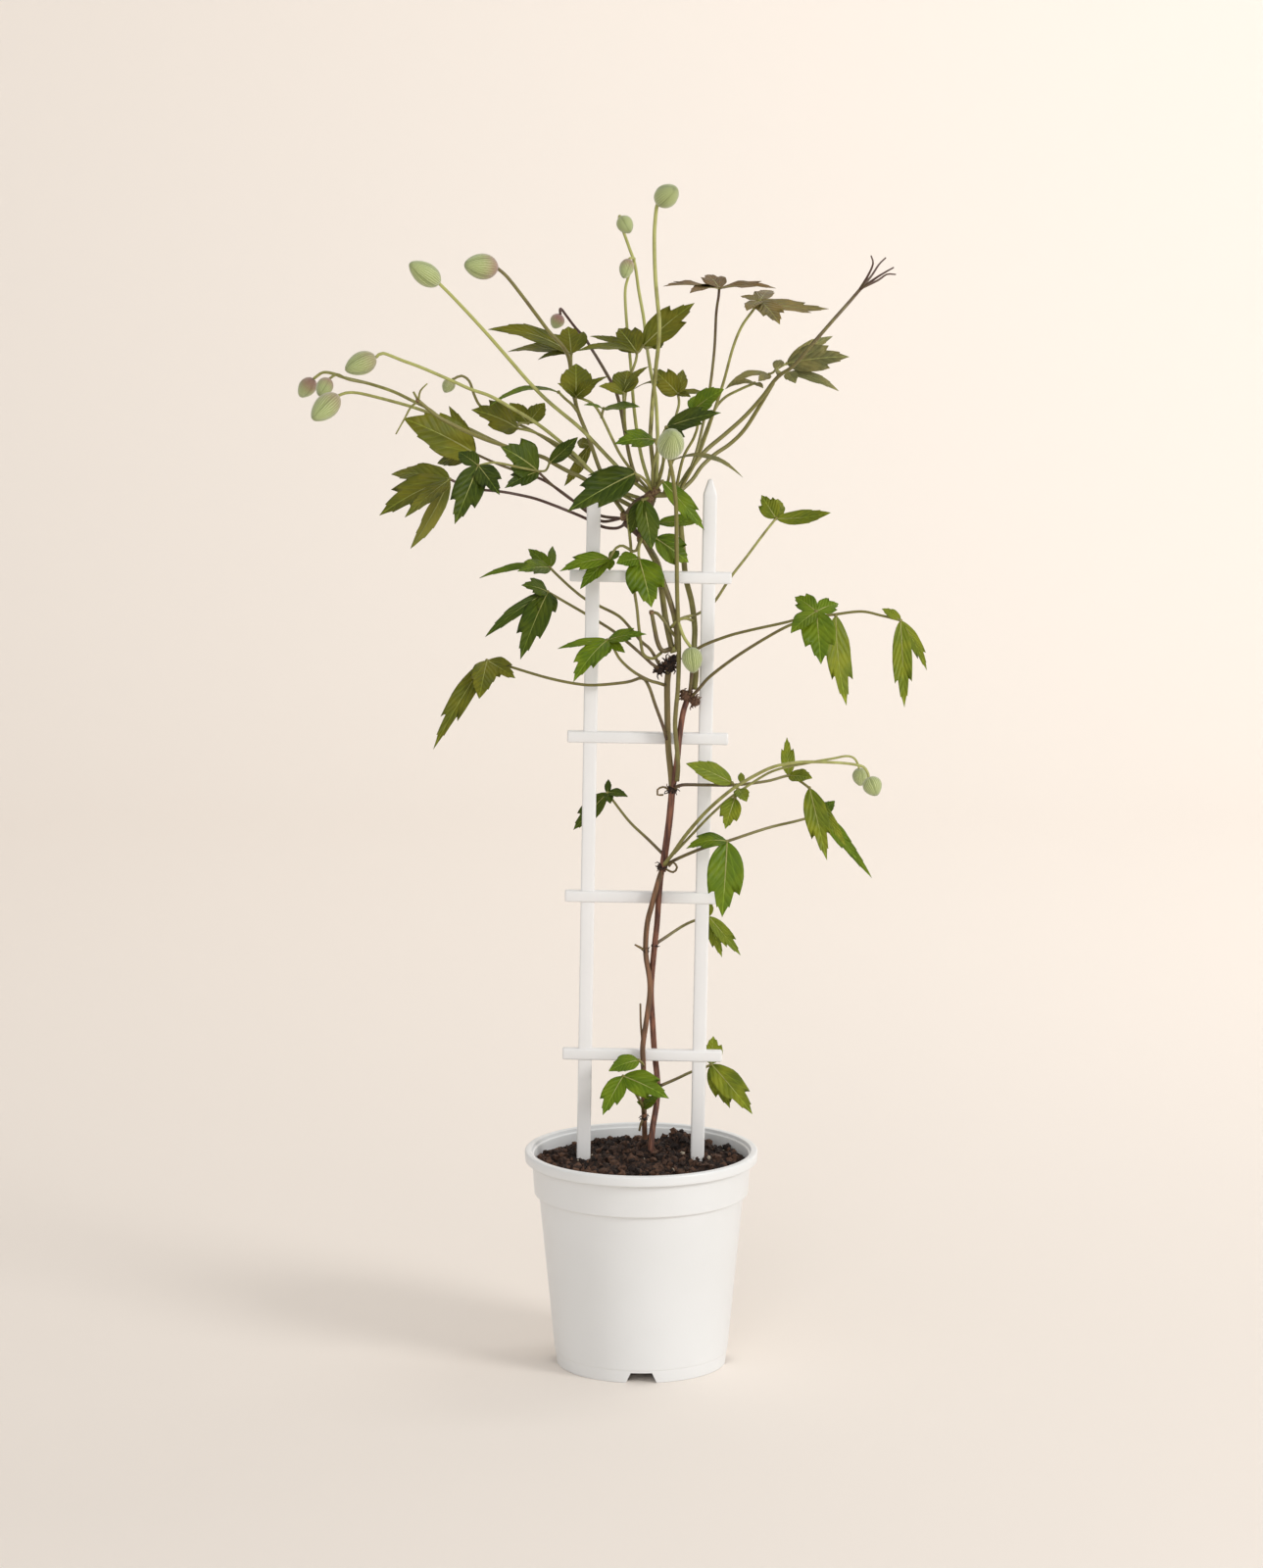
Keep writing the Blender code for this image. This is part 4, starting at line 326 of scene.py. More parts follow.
# Each leaf has the route of its stalk, further stalks, and its fans: the point where leaflets meet,
# and those leaflets. A leaf with own_stalk springs from the woody stems and brings its stalk along.
# The other leaves grow from the end of a stalk that belongs to the crown.
LEAVES = {
    "leaf_left_low": {
        "stalk": [(638, 535, 2), (629, 539, -5), (615, 537.5, -9), (600, 530, -10), (579, 521, -4),
                  (550, 510, 4), (530, 505, 9), (510, 501.5, 13), (485, 499, 17), (470, 494, 19)],
        "fans": [((459, 489, 20), [
            leaflet((387, 526, 36), 27, -10, 45, 4, "lobed"),
            leaflet((399, 484, 2), 20, 0, 50, 3),
            leaflet((413, 528, 52), 12, 0, 40, 2),
            leaflet((419, 560, 24), 13, 150, -10, 3)])]},
    "leaf_left_grey": {
        "stalk": [(638, 528, 4), (615, 532, -12), (600, 523, -16), (580, 507, -14), (560, 493, -9),
                  (545, 486, -9), (520, 478, -5), (500, 470, 0)],
        "fans": [((485, 463, 2), [
            leaflet((412, 427, 14), 30, -5, 30, 4),
            leaflet((446, 473, -12), 14, -10, 30, 2),
            leaflet((458, 414, -16), 10, 0, 20, 1)])]},
    "leaf_left_upper": {
        "stalk": [(600, 479, -15), (585, 465, -24), (572, 455, -28), (556, 446, -29), (542, 440, -28)],
        "sprigs": [[(528, 437, -26), (530, 432, -31), (539, 432, -38)]],
        "fans": [((528, 437, -26), [leaflet((481, 418, -14), 25, -5, 40, 3, "lobed")]),
                 ((539, 432, -38), [
                     leaflet((520, 411, -44), 13, 0, 25, 1),
                     leaflet((556, 411, -46), 13, 0, 25, 1)])]},
    "leaf_left_dark": {
        "stalk": [(634, 529, 0), (614, 526.5, -9), (600, 519, -10), (585, 511, -6), (566, 497, 4),
                  (555, 487, 10)],
        "sprigs": [[(549, 481, 12), (530, 477, 26), (505, 472, 37), (488, 475, 40)],
                   [(549, 481, 12), (557, 480, 5), (561, 472, -2)]],
        "fans": [((549, 481, 12), [
                     leaflet((511, 456, 20), 28, 5, 30, 3, "lobed"),
                     leaflet((515, 498, 30), 14, 0, 35, 2, "lobed")]),
                 ((488, 475, 40), [
                     leaflet((464, 535, 58), 21, 10, 25, 3, "lobed"),
                     leaflet((510, 505, 56), 17, 0, 30, 2, "lobed"),
                     leaflet((468, 461, 30), 13, 0, 40, 1)]),
                 ((561, 472, -2), [leaflet((590, 446, -3), 11, 20, 10, 1)])]},
    "leaf_left_curved": {
        "stalk": [(590, 421, -20), (584, 413, -19), (577, 407, -19)],
        "fans": [((570, 400, -20), [leaflet((498, 416, -8), 9, 0, 75, 8)])]},
    "leaf_left_big": {
        "stalk": [(665, 500, 17), (660, 492, 23), (655, 487, 26)],
        "fans": [((648, 483, 28), [
            leaflet((579, 522, 48), 25, 5, 30, 4, "lobed"),
            leaflet((600, 485, 12), 13, 0, 60, 2)])]},
    "leaf_left_olive": {
        "stalk": [(611, 477, -16), (607, 466, -22)],
        "fans": [((602, 454, -27), [
            leaflet((589, 451, -40), 8, 0, 10, 1),
            leaflet((576, 496, -37), 10, 30, 0, 1)])]},
    "leaf_top_left": {
        "stalk": [(590, 421, -21), (587, 405, -31), (584, 385, -39), (583, 370, -41)],
        "fans": [((583, 361, -40), [
            leaflet((498, 336, -30), 18, -5, 58, 7),
            leaflet((518, 359, -58), 13, 0, 62, 4),
            leaflet((549, 367, -32), 6, 0, 60, 3),
            leaflet((580, 333, -46), 25, 0, 35, 2, "lobed")])]},
    "leaf_top_mid": {
        "stalk": [(640, 452, -4), (637.5, 430, -6), (638, 405, -9), (643, 385, -10), (649, 368, -11)],
        "sprigs": [[(650, 360, -11), (653, 358, -15), (656, 353, -19)],
                   [(656, 353, -19), (660, 356, -24), (664, 354, -28)]],
        "fans": [((650, 360, -11), [
                     leaflet((589, 358, 2), 12, 0, 70, 4),
                     leaflet((631, 335, -22), 22, 0, 35, 2, "lobed"),
                     leaflet((602, 343, -24), 9, 0, 65, 3)]),
                 ((656, 353, -19), [leaflet((709, 309, -28), 22, -10, 25, 3, "lobed")]),
                 ((664, 354, -28), [leaflet((678, 348, -30), 9, 0, 30, 1)])]},
    "leaf_mid_left": {
        "stalk": [(665, 503, 14), (653, 490, 9), (640, 474, 5), (632, 462, 4), (625, 448, 4), (614, 425, 3),
                  (606, 413, 2), (597, 408, 1)],
        "fans": [((588, 405, 0), [
            leaflet((588, 371, -12), 23, 0, 30, 2),
            leaflet((569, 391, 6), 8, 0, 40, 2),
            leaflet((613, 386, 10), 11, 10, 30, 2),
            leaflet((621, 384, -8), 6, 0, 60, 3)])]},
    "leaf_mid": {
        "stalk": [(640, 452, -4), (638, 435, 4), (637, 418, 10), (636.5, 408, 16)],
        "fans": [((636, 401, 22), [
            leaflet((641, 378, 8), 19, 0, 35, 2),
            leaflet((611, 394, 30), 9, 0, 40, 2),
            leaflet((662, 374, 14), 6, 0, 60, 4)])]},
    "leaf_flat": {
        "stalk": [(614, 426, 3), (614.5, 422, 9)],
        "fans": [((616, 417, 15), [
            leaflet((596, 413, 20), 6, 0, 70, 1),
            leaflet((653, 415, 34), 12, 0, 60, 1)])]},
    "leaf_mid_low": {
        "stalk": [(666, 502, 14), (666, 480, 18), (669, 466, 22), (671, 457, 27)],
        "fans": [((668, 449, 30), [leaflet((627, 453, 42), 17, 0, 45, 3, "lobed")])]},
    "leaf_mid_right": {
        "stalk": [(669, 502, 14), (676, 475, 3), (681, 458, -7), (686, 440, -15), (690, 424, -21),
                  (693, 412, -22)],
        "fans": [((692, 402, -22), [
            leaflet((666, 376, -12), 17, 0, 20, 2, "lobed"),
            leaflet((697, 377, -36), 10, 10, 20, 1),
            leaflet((705, 405, -12), 6, 0, 40, 1),
            leaflet((644, 400, -40), 7, 0, 75, 8),
            leaflet((722, 402, -34), 7, 0, 60, 2)])]},
    "leaf_right_up": {
        "stalk": [(689, 504, 12), (697, 468, 14), (708, 447, 18), (712, 432, 24)],
        "fans": [((707, 419, 30), [
            leaflet((739, 397, 38), 16, -10, 30, 2),
            leaflet((709, 404, 20), 9, 0, 40, 1)])]},
    "leaf_right_mid": {
        "stalk": [(671, 496, 14), (676, 478, 22), (677, 462, 30), (675, 448, 37)],
        "fans": [((680, 436, 41), [
            leaflet((736, 421, 50), 17, -5, 40, 2, "lobed"),
            leaflet((699, 446, 56), 9, 0, 20, 1)])]},
    "leaf_right_narrow": {
        "stalk": [(677, 505, 15), (682, 490, 16), (684, 478, 23)],
        "fans": [((687, 469, 30), [leaflet((758, 487, 44), 8, 0, 75, 9)])]},
    "leaf_umbrella": {
        "stalk": [(690, 504, 12), (703, 482, 6), (711, 460, 0), (717, 435, -5), (724, 400, -7),
                  (729, 358, -8), (731, 320, -7), (733.5, 302, -5)],
        "fans": [((734, 294, -5), [
            leaflet((677, 292, 14), 20, 0, 85, 2, "lobed"),
            leaflet((704, 299, 24), 14, 0, 80, 2),
            leaflet((722, 280, -27), 17, 0, 78, 1, "lobed"),
            leaflet((792, 294, 2), 18, 0, 80, 2, "lobed")])]},
    "leaf_umbrella_right": {
        "stalk": [(692, 504, 11), (710, 471, 10), (721, 443, 12), (730, 416, 14), (739, 388, 16),
                  (748, 355, 18), (757, 333, 19), (769, 316, 20)],
        "fans": [((775, 307, 20), [
            leaflet((756, 302, 8), 10, 0, 70, 1),
            leaflet((785, 296, -16), 14, 0, 60, 1),
            leaflet((846, 315, 6), 15, 0, 60, -2, "lobed"),
            leaflet((796, 331, 42), 18, 10, 45, 2, "lobed"),
            leaflet((762, 317, 36), 12, -20, 50, 1)])]},
    "leaf_shoot": {
        "stalk": [(795, 383, 0), (793, 380, -5)],
        "sprigs": [[(792, 377, -10), (797, 374, -12), (803, 371, -14)],
                   [(792, 377, -10), (789, 380, -12), (785, 382, -13)],
                   [(792, 377, -10), (798, 381, -11), (804, 380, -12)]],
        "fans": [((792, 377, -10), [leaflet((797, 367, -18), 8, 0, 50, 1)]),
                 ((803, 371, -14), [
                     leaflet((867, 364, -8), 21, -5, 30, 3, "lobed"),
                     leaflet((850, 343, -28), 10, 0, 40, 3)]),
                 ((785, 382, -13), [
                     leaflet((742, 394, -6), 8, 0, 65, 5),
                     leaflet((774, 389, 2), 8, 0, 30, 1)]),
                 ((804, 380, -12), [
                     leaflet((812, 391, -4), 10, 0, 30, 1),
                     leaflet((856, 399, -10), 9, 0, 50, 4)])]},
    "leaf_shoot_side": {
        "stalk": [(694, 501, 8), (711, 464, -10), (722, 436, -18), (730, 417, -21), (740, 405.5, -22),
                  (755, 397.5, -22)],
        "fans": [((770, 391, -22), [
            leaflet((740, 397, -20), 7, 0, 60, 4),
            leaflet((779, 396, -16), 5, 0, 60, 1)])]},
    "leaf_right_young": {
        "stalk": [(686, 640, 12), (694, 632, 10), (702, 629, 2), (713, 626, -10), (729, 614, -13),
                  (745, 590, -14), (762, 568, -18), (780, 544, -26)],
        "fans": [((792, 529, -30), [
            leaflet((777, 505, -34), 14, -10, 20, 1, "lobed"),
            leaflet((794, 509, -46), 11, 10, 20, 1),
            leaflet((848, 523, -18), 12, 10, 35, -3)])]},
    "leaf_right_big": {
        "stalk": [(703, 712, 9), (705, 697, 13), (707, 675, 13), (712, 662, 12), (740, 650, 14),
                  (766, 643, 18), (806, 634, 30), (825, 627, 38)],
        "own_stalk": True,
        "fans": [((833, 624, 40), [
            leaflet((838, 678, 58), 24, 0, 20, 3, "lobed"),
            leaflet((811, 609, 34), 14, -10, 40, 2, "lobed"),
            leaflet((807, 646, 56), 14, -20, 30, 2),
            leaflet((856, 616, 30), 13, 10, 40, 2, "lobed")])]},
    "leaf_far_right": {
        "stalk": [(704, 713, 9), (714, 702, 14), (725, 690, 14), (750, 671, 16), (780, 652, 18),
                  (806, 638, 18), (830, 630, 16), (852, 627, 15), (879, 624, 16), (899, 628, 18)],
        "own_stalk": True,
        "fans": [((919, 633, 20), [
                     leaflet((900, 621, 16), 8, 0, 50, 1),
                     leaflet((923, 722, 34), 14, -10, 10, -2, "lobed"),
                     leaflet((946, 684, 14), 9.5, 30, 10, 3, "lobed")]),
                 ((853, 628, 15.5), [leaflet((864, 720, 26), 19, 25, 10, -4, "lobed")])]},
    "leaf_low_left_top": {
        "stalk": [(675, 682, 9), (664, 663, 15), (655, 655, 13), (645, 643, 8), (632, 629, 0),
                  (613, 619, -9), (597, 611, -12), (583, 600, -13), (570, 588, -14)],
        "own_stalk": True,
        "fans": [((561, 579, -15), [
            leaflet((539, 560, -26), 10, 0, 35, 1),
            leaflet((564, 557, -32), 7, 20, 10, 1),
            leaflet((489, 590, -8), 8, 0, 60, 5),
            leaflet((528, 583, 4), 15, 0, 40, 2, "lobed")])]},
    "leaf_low_left_mid": {
        "stalk": [(675, 683, 9), (666, 678, 16), (655, 668, 15), (640, 655, 14), (626, 644, 2),
                  (612, 635, -9), (597, 626, -11), (578, 615, -6), (566, 608, 2)],
        "own_stalk": True,
        "fans": [((559, 604, 6), [
            leaflet((532, 597, 14), 14, 0, 40, 2, "lobed"),
            leaflet((495, 650, 26), 10, -10, 35, 4),
            leaflet((531, 673, 40), 20, -10, 15, 3, "lobed"),
            leaflet((557, 635, 22), 15, 10, 20, 1, "lobed")])]},
    "leaf_arch": {
        "stalk": [(654, 549, 14), (649, 562, 16), (643, 561, 14), (636, 557, 13), (629, 559, 12)],
        "fans": [((622, 570, 12), [
            leaflet((571, 583, 20), 14, 0, 40, 4, "lobed"),
            leaflet((592, 601, 26), 12, -20, 25, 2),
            leaflet((632, 562, 6), 7, 0, 30, 0.5),
            leaflet((622, 582, 18), 8, 0, 30, 0.5)])]},
    "leaf_center_big": {
        "stalk": [(655, 549, 14), (652, 559, 19)],
        "fans": [((652, 570, 23), [
            leaflet((665, 620, 40), 27, 5, 20, 3, "lobed"),
            leaflet((629, 575, 30), 14, -10, 40, 1)])]},
    "leaf_center_dark": {
        "stalk": [(662, 508, 17), (659, 509, 21)],
        "fans": [((656, 510, 25), [
            leaflet((665, 561, 38), 17, 15, 15, 2),
            leaflet((643, 545, 34), 12, -15, 15, 1)])]},
    "leaf_center_right": {
        "stalk": [(656, 548, 12), (663, 547, 16)],
        "sprigs": [[(669, 549, 15), (668, 541, 9), (671, 534, 4)]],
        "fans": [((669, 549, 15), [leaflet((703, 574, 9), 20, 10, 20, 2, "lobed")]),
                 ((671, 534, 4), [leaflet((717, 532, 6), 14, 0, 60, 1)])]},
    "leaf_crown_right": {
        "stalk": [(668, 501, 15), (672, 496, 19)],
        "fans": [((676, 491, 22), [leaflet((719, 541, 20), 14, 10, 30, 2, "lobed")])]},
    "leaf_low_left_low": {
        "stalk": [(681, 700, 9), (672, 697, 15), (662, 694, 17), (646, 685, 15), (633, 673, 14),
                  (626, 661, 15)],
        "own_stalk": True,
        "fans": [((620, 653, 16), [
            leaflet((569, 662, 26), 7, 0, 50, 2),
            leaflet((585, 696, 44), 18, -15, 30, 4, "lobed"),
            leaflet((612, 673, 30), 11, 0, 20, 1),
            leaflet((638, 666, 26), 7, 0, 20, 0.5),
            leaflet((660, 647, 30), 12, 0, 45, 2, "lobed")])]},
    "leaf_far_left_low": {
        "stalk": [(681, 757, 11), (677, 742, 14), (669, 720, 14), (662, 700, 15), (655, 692, 11),
                  (640, 696, 9), (610, 699, 10), (590, 698, 9), (560, 692, 5), (526, 682, 0), (508, 676, -4)],
        "own_stalk": True,
        "fans": [((497, 674, -5), [
            leaflet((526, 692, 8), 16, 10, 30, 1, "lobed"),
            leaflet((489, 713, 18), 18, 0, 20, 2),
            leaflet((442, 765, 26), 15, -10, 25, 5, "lobed")])]},
    "leaf_low_right_far": {
        "stalk": [(686, 806, 10), (696, 801, 15), (720, 801, 16), (750, 801, 20), (783, 797, 14),
                  (805, 791.5, 8), (815, 796, 9)],
        "own_stalk": True,
        "sprigs": [[(750, 801, 20), (747, 799, 21)], [(750, 801, 20), (753, 805, 24), (750, 814, 30)]],
        "fans": [((826, 804, 12), [
                     leaflet((844, 878, 28), 17, 0, 15, 2, "lobed"),
                     leaflet((864, 865, 20), 8, 15, 20, 1)]),
                 ((747, 799, 21), [leaflet((700, 779, 30), 15, -5, 35, 3)]),
                 ((753, 805, 24), [leaflet((762, 818, 36), 11, 10, 30, 1)]),
                 ((750, 814, 30), [leaflet((740, 846, 40), 15, -5, 25, 1, "lobed")]),
                 ((757, 799, 19), [leaflet((756, 788, 12), 5, 0, 30, 0.5)]),
                 ((805, 791.5, 8), [
                     leaflet((803, 752, -2), 10, 0, 20, -1, "lobed"),
                     leaflet((829, 794, 16), 12, 10, 40, 1)])]},
    "leaf_low_right_mid": {
        "stalk": [(677, 884, 8), (692, 876, 14), (716, 866, 20), (742, 858.5, 25), (783, 845, 14),
                  (812, 838, 2)],
        "own_stalk": True,
        "fans": [((838, 831, -6), [
                     leaflet((852, 817, -10), 9, 0, 40, 1),
                     leaflet((875, 878, 0), 11, 20, 20, 2, "lobed"),
                     leaflet((890, 896, -14), 8, 20, 20, 2)]),
                 ((742, 858.5, 25), [
                     leaflet((700, 866, 32), 13, -10, 45, 5, "lobed"),
                     leaflet((737, 936, 42), 26, 5, 15, 3, "lobed")])]},
    "leaf_low_right": {
        "stalk": [(668, 964, 8), (680, 956, 2), (695, 946, -6), (707, 940, -9)],
        "own_stalk": True,
        "fans": [((723, 935, -9), [
            leaflet((725, 920, -14), 6, 0, 20, 0.5),
            leaflet((737, 977, -8), 10, 0, 10, 1, "lobed"),
            leaflet((756, 975, -4), 11, 15, 20, 1, "lobed"),
            leaflet((728, 958, -14), 5, 0, 10, 0.5)])]},
    "leaf_low_left": {
        "stalk": [(678, 873, 8), (662, 857, 2), (643, 839, -6), (628, 820, -11)],
        "own_stalk": True,
        "fans": [((620, 809, -13), [
            leaflet((585, 847, -20), 14, 0, 30, 1, "lobed"),
            leaflet((621, 795, -18), 5, 0, 20, 0.5),
            leaflet((623, 820, -4), 7, 0, 30, 0.5),
            leaflet((641, 813, -8), 8, 10, 45, 2)])]},
    "leaf_base_left": {
        "stalk": [(657.5, 1137, 0), (656, 1130, 8), (653, 1123, 13), (644, 1108, 17)],
        "own_stalk": True,
        "fans": [((636, 1098, 20), [
                     leaflet((615, 1138, 34), 16, -10, 25, 2, "lobed"),
                     leaflet((683, 1121, 34), 20, 0, 35, 3, "lobed")]),
                 ((656, 1130, 7), [
                     leaflet((672, 1119, 14), 9, 10, 40, 1),
                     leaflet((650, 1124, 16), 5, 0, 40, 0.5)])]},
    "leaf_base_top": {
        "stalk": [(656.7, 1088, 8), (655.5, 1085, 13)],
        "own_stalk": True,
        "fans": [((652, 1082, 16), [leaflet((621, 1093, 24), 14, 0, 40, 3)])]},
    "leaf_base_right": {
        "stalk": [(671.5, 1109, -6), (690, 1101, -9), (705, 1094, -10), (719, 1089.5, -10)],
        "own_stalk": True,
        "fans": [((726, 1086, -10), [
            leaflet((728, 1057, -16), 15, 0, 25, 1, "lobed"),
            leaflet((745, 1131, 4), 15, -10, 20, 2, "lobed"),
            leaflet((768, 1137, 14), 20, 10, 30, 2, "lobed")])]},
}

# Each bud has its foot, its tip and its width in mm.
BUDS = {
    "bud_1": ((448, 289, 26), (418, 268.5, 34), 16),
    "bud_2": ((507, 273.5, 0), (474, 270, 8), 18.5),
    "bud_3": ((383.5, 364.5, 9), (352, 378, 14), 16.5),
    "bud_4": ((320, 386.5, -10), (306, 405, -12), 12.5),
    "bud_5": ((335.5, 387, 10), (326, 404, 16), 12),
    "bud_6": ((344.5, 404, 20), (319, 428, 30), 17),
    "bud_7": ((461.5, 387, -38), (453.5, 400.5, -38), 9.5),
    "bud_8": ((572, 321, -53.5), (565, 335, -56), 10.5),
    "bud_9": ((672, 206.5, 0), (690, 192, 8), 16.5),
    "bud_10": ((633.5, 221.5, -38), (643, 237.5, -34), 12),
    "bud_11": ((642, 264.5, -35.5), (636.5, 284, -32), 10.5),
    "bud_12": ((683, 463, 51.5), (686.5, 441, 74), 19),
    "bud_13": ((705, 660, 24), (708, 687, 26), 15),
}
# Two more buds hang from thin stalks of their own, which spring from the lowest knot.
HANGING_STALKS = {
    "front": ([(676, 884, 8), (686, 872, 16), (700, 852, 23), (720, 829, 29), (740, 811, 33),
               (757, 799, 34), (783, 785, 32), (800, 780, 29), (820, 777.5, 25), (850, 778, 20),
               (868, 779.5, 16), (881, 782.5, 14), (886, 790, 14), (887, 797, 15)], 1.5, 1),
    "back": ([(688, 871, 18), (703, 855, 20), (724, 833, 22), (744, 815, 24), (760, 804, 24),
              (784, 789, 23), (802, 783, 23), (820, 779.5, 22), (835, 776.5, 20), (850, 774, 17),
              (864, 771.5, 10), (872, 774, 6), (876, 781, 4), (877, 787, 4)], 1, 0.8),
}
HANGING_BUDS = [((886.5, 793, 15), (895, 812, 18), 14), ((877, 784, 4), (878.5, 802, 2), 11)]
# The tone of each leaf that isn't plain green.
LEAF_TONES = {
    "leaf_left_low": "olive", "leaf_left_grey": "olive", "leaf_left_upper": "olive",
    "leaf_left_olive": "olive", "leaf_left_dark": "dark", "leaf_left_big": "dark",
    "leaf_top_left": "olive", "leaf_top_mid": "olive", "leaf_mid_left": "olive", "leaf_mid": "olive",
    "leaf_mid_right": "olive", "leaf_right_mid": "dark",
    "leaf_umbrella": "bronze", "leaf_umbrella_right": "bronze", "leaf_right_young": "fresh",
    "leaf_center_dark": "dark", "leaf_low_left": "dark", "leaf_low_left_mid": "dark", "leaf_shoot": "grey",
    "leaf_shoot_side": "grey", "leaf_right_narrow": "grey", "leaf_far_left_low": "olive",
    "leaf_far_right": "fresh", "leaf_low_right_far": "fresh", "leaf_low_right": "fresh",
    "leaf_base_right": "fresh",
}
print("stalks:", len(STALKS), "leaves:", len(LEAVES), "buds:", len(BUDS) + len(HANGING_BUDS))

# %% [markdown]
# ## Round stalks from flat sheets
# A stalk could be a curve with a bevel, but then its pattern would have no map to follow. Instead we
# take a flat grid, note each corner's place on it as the map, and roll it up round a smooth route.
# The rows at both ends shrink to a point and merge, which closes the tube.

# %% Smooth routes and tubes
ROUTE_STEP = 2.5 * MM
CLOSE = 1e-6


def smooth_route(points):
    """One smooth curve through the points."""
    line = [points[0] * 2 - points[1], *points, points[-1] * 2 - points[-2]]
    made = []
    for before, first, second, after in zip(line, line[1:], line[2:], line[3:]):
        count = max(1, round((second - first).length / ROUTE_STEP))
        for number in range(count):
            t = number / count
            bend = (before * 2 - first * 5 + second * 4 - after) * t ** 2
            twist = (first * 3 - before - second * 3 + after) * t ** 3
            made.append((first * 2 + (second - before) * t + bend + twist) / 2)
    return made + [points[-1]]


def shortened(points, by):
    """The same line with this length taken off its start."""
    points = list(points)
    while (points[1] - points[0]).length <= by:
        by -= (points[1] - points[0]).length
        del points[0]
    points[0] = points[0].lerp(points[1], by / (points[1] - points[0]).length)
    return points


def new_mesh():
    """An empty bmesh with a map and a tint."""
    bm = bmesh.new()
    bm.loops.layers.uv.new("grain")
    bm.verts.layers.float.new("tint")
    return bm


def faces_of(verts):
    return list({face for vert in verts for face in vert.link_faces})


def lay_map(bm, verts):
    """Writes where each corner lies on the flat grid into the map."""
    layer = bm.loops.layers.uv["grain"]
    for vert in verts:
        for loop in vert.link_loops:
            loop[layer].uv = (vert.co.x + 0.5, vert.co.y + 0.5)


def close_up(bm, verts, material):
    """Merges what met, turns the faces outward and makes them smooth."""
    faces = faces_of(verts)
    bmesh.ops.remove_doubles(bm, verts=verts, dist=CLOSE)
    faces = [face for face in faces if face.is_valid]
    bmesh.ops.recalc_face_normals(bm, faces=faces)
    for face in faces:
        face.smooth = True
        face.material_index = material


def tube(bm, points, first, last, tints, sides, material=0):
    """A round stalk along the points. Its radius in millimetres and its tint go from first to last."""
    route = smooth_route(points)
    side = (route[1] - route[0]).orthogonal()
    rings = []
    for number, point in enumerate(route):
        along = (route[min(number + 1, len(route) - 1)] - route[max(number - 1, 0)]).normalized()
        side = (side - along * along.dot(side)).normalized()
        rings.append((point, side, along.cross(side)))
    rings = [rings[0], *rings, rings[-1]]
    rows = len(rings) - 1
    verts = bmesh.ops.create_grid(bm, x_segments=rows, y_segments=sides, size=0.5)["verts"]
    lay_map(bm, verts)
    layer = bm.verts.layers.float["tint"]
    for vert in verts:
        row = round((vert.co.x + 0.5) * rows)
        turn = (vert.co.y + 0.5) * math.tau
        share = row / rows
        point, side, other = rings[row]
        radius = (first + (last - first) * share) * MM if 0 < row < rows else 0
        vert.co = point + (side * math.cos(turn) + other * math.sin(turn)) * radius
        vert[layer] = tints[0] + (tints[1] - tints[0]) * share
    close_up(bm, verts, material)


def plain(name, bm):
    """Makes the mesh an object at the origin."""
    mesh = bpy.data.meshes.new(name)
    bm.to_mesh(mesh)
    bm.free()
    piece = bpy.data.objects.new(name, mesh)
    bpy.context.scene.collection.objects.link(piece)
    return piece


def finished(name, bm, materials, node):
    """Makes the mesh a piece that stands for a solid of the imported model."""
    bmesh.ops.translate(bm, vec=-PLANT_MIDDLE, verts=bm.verts[:])
    piece = plain(name, bm)
    for finish in materials:
        piece.data.materials.append(finish.material)
    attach(piece, "root")
    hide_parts(node)
    print(name, len(piece.data.polygons), "faces")


# %% [markdown]
# ## Finishes of the living parts
# A leaf's upper face is deep green with a paler net: one midrib, and side veins that leave it at a
# slant. On the map the distance from the midrib is known, so a slanted wave gives the veins, and
# the same wave as bump lets the blade swell between them. The lower face is paler and duller.

# %% Leaf, stalk and bud finishes
def leaf_finish(name, tone, vein, rough, veins_up):
    """Veins sink into the upper face, and stand out of the lower one."""
    leaf = Finish(name, IOR=1.4)
    leaf.feed("Specular IOR Level", 0.25)
    along, across = leaf.grain()
    aside = abs(across * 2 - 1)
    wobble = leaf.speckle(9) * 0.5
    slant = along * 7.5 - aside * 2.6 + wobble
    wave = slant.zigzag()
    side_vein = (1 - leaf.range(wave, 0.01, 0.09)) * (1 - leaf.range(aside, 0.5, 0.95))
    arm = 1 - leaf.range(abs(aside - along * 1.15), 0.0, 0.05)
    arm = arm * (1 - leaf.range(along, 0.35, 0.65))
    midrib = 1 - leaf.range(aside, 0.015, 0.05)
    net = midrib + side_vein * 0.35 + arm * 0.5
    net = net.maths("MINIMUM", net, 1)
    patch = leaf.range(leaf.speckle(14, 3), 0.35, 0.7)
    dark = leaf.mix(leaf.tint(), rgb(*[part * 0.62 for part in tone]), rgb(*tone))
    light = rgb(min(1, tone[0] * 1.75 + 0.01), min(1, tone[1] * 1.4 + 0.01), tone[2] * 1.2)
    colour = leaf.mix(patch * 0.55, dark, light)
    leaf.feed("Base Color", leaf.mix(net * 0.6, colour, rgb(*vein)))
    leaf.feed("Roughness", rough + patch * 0.1)
    puff = leaf.range(wave, 0.0, 0.5) * (1 - midrib)
    height = puff if not veins_up else net
    leaf.raise_by(height + leaf.speckle(1.2) * 0.2, 0.35 * MM)
    return leaf


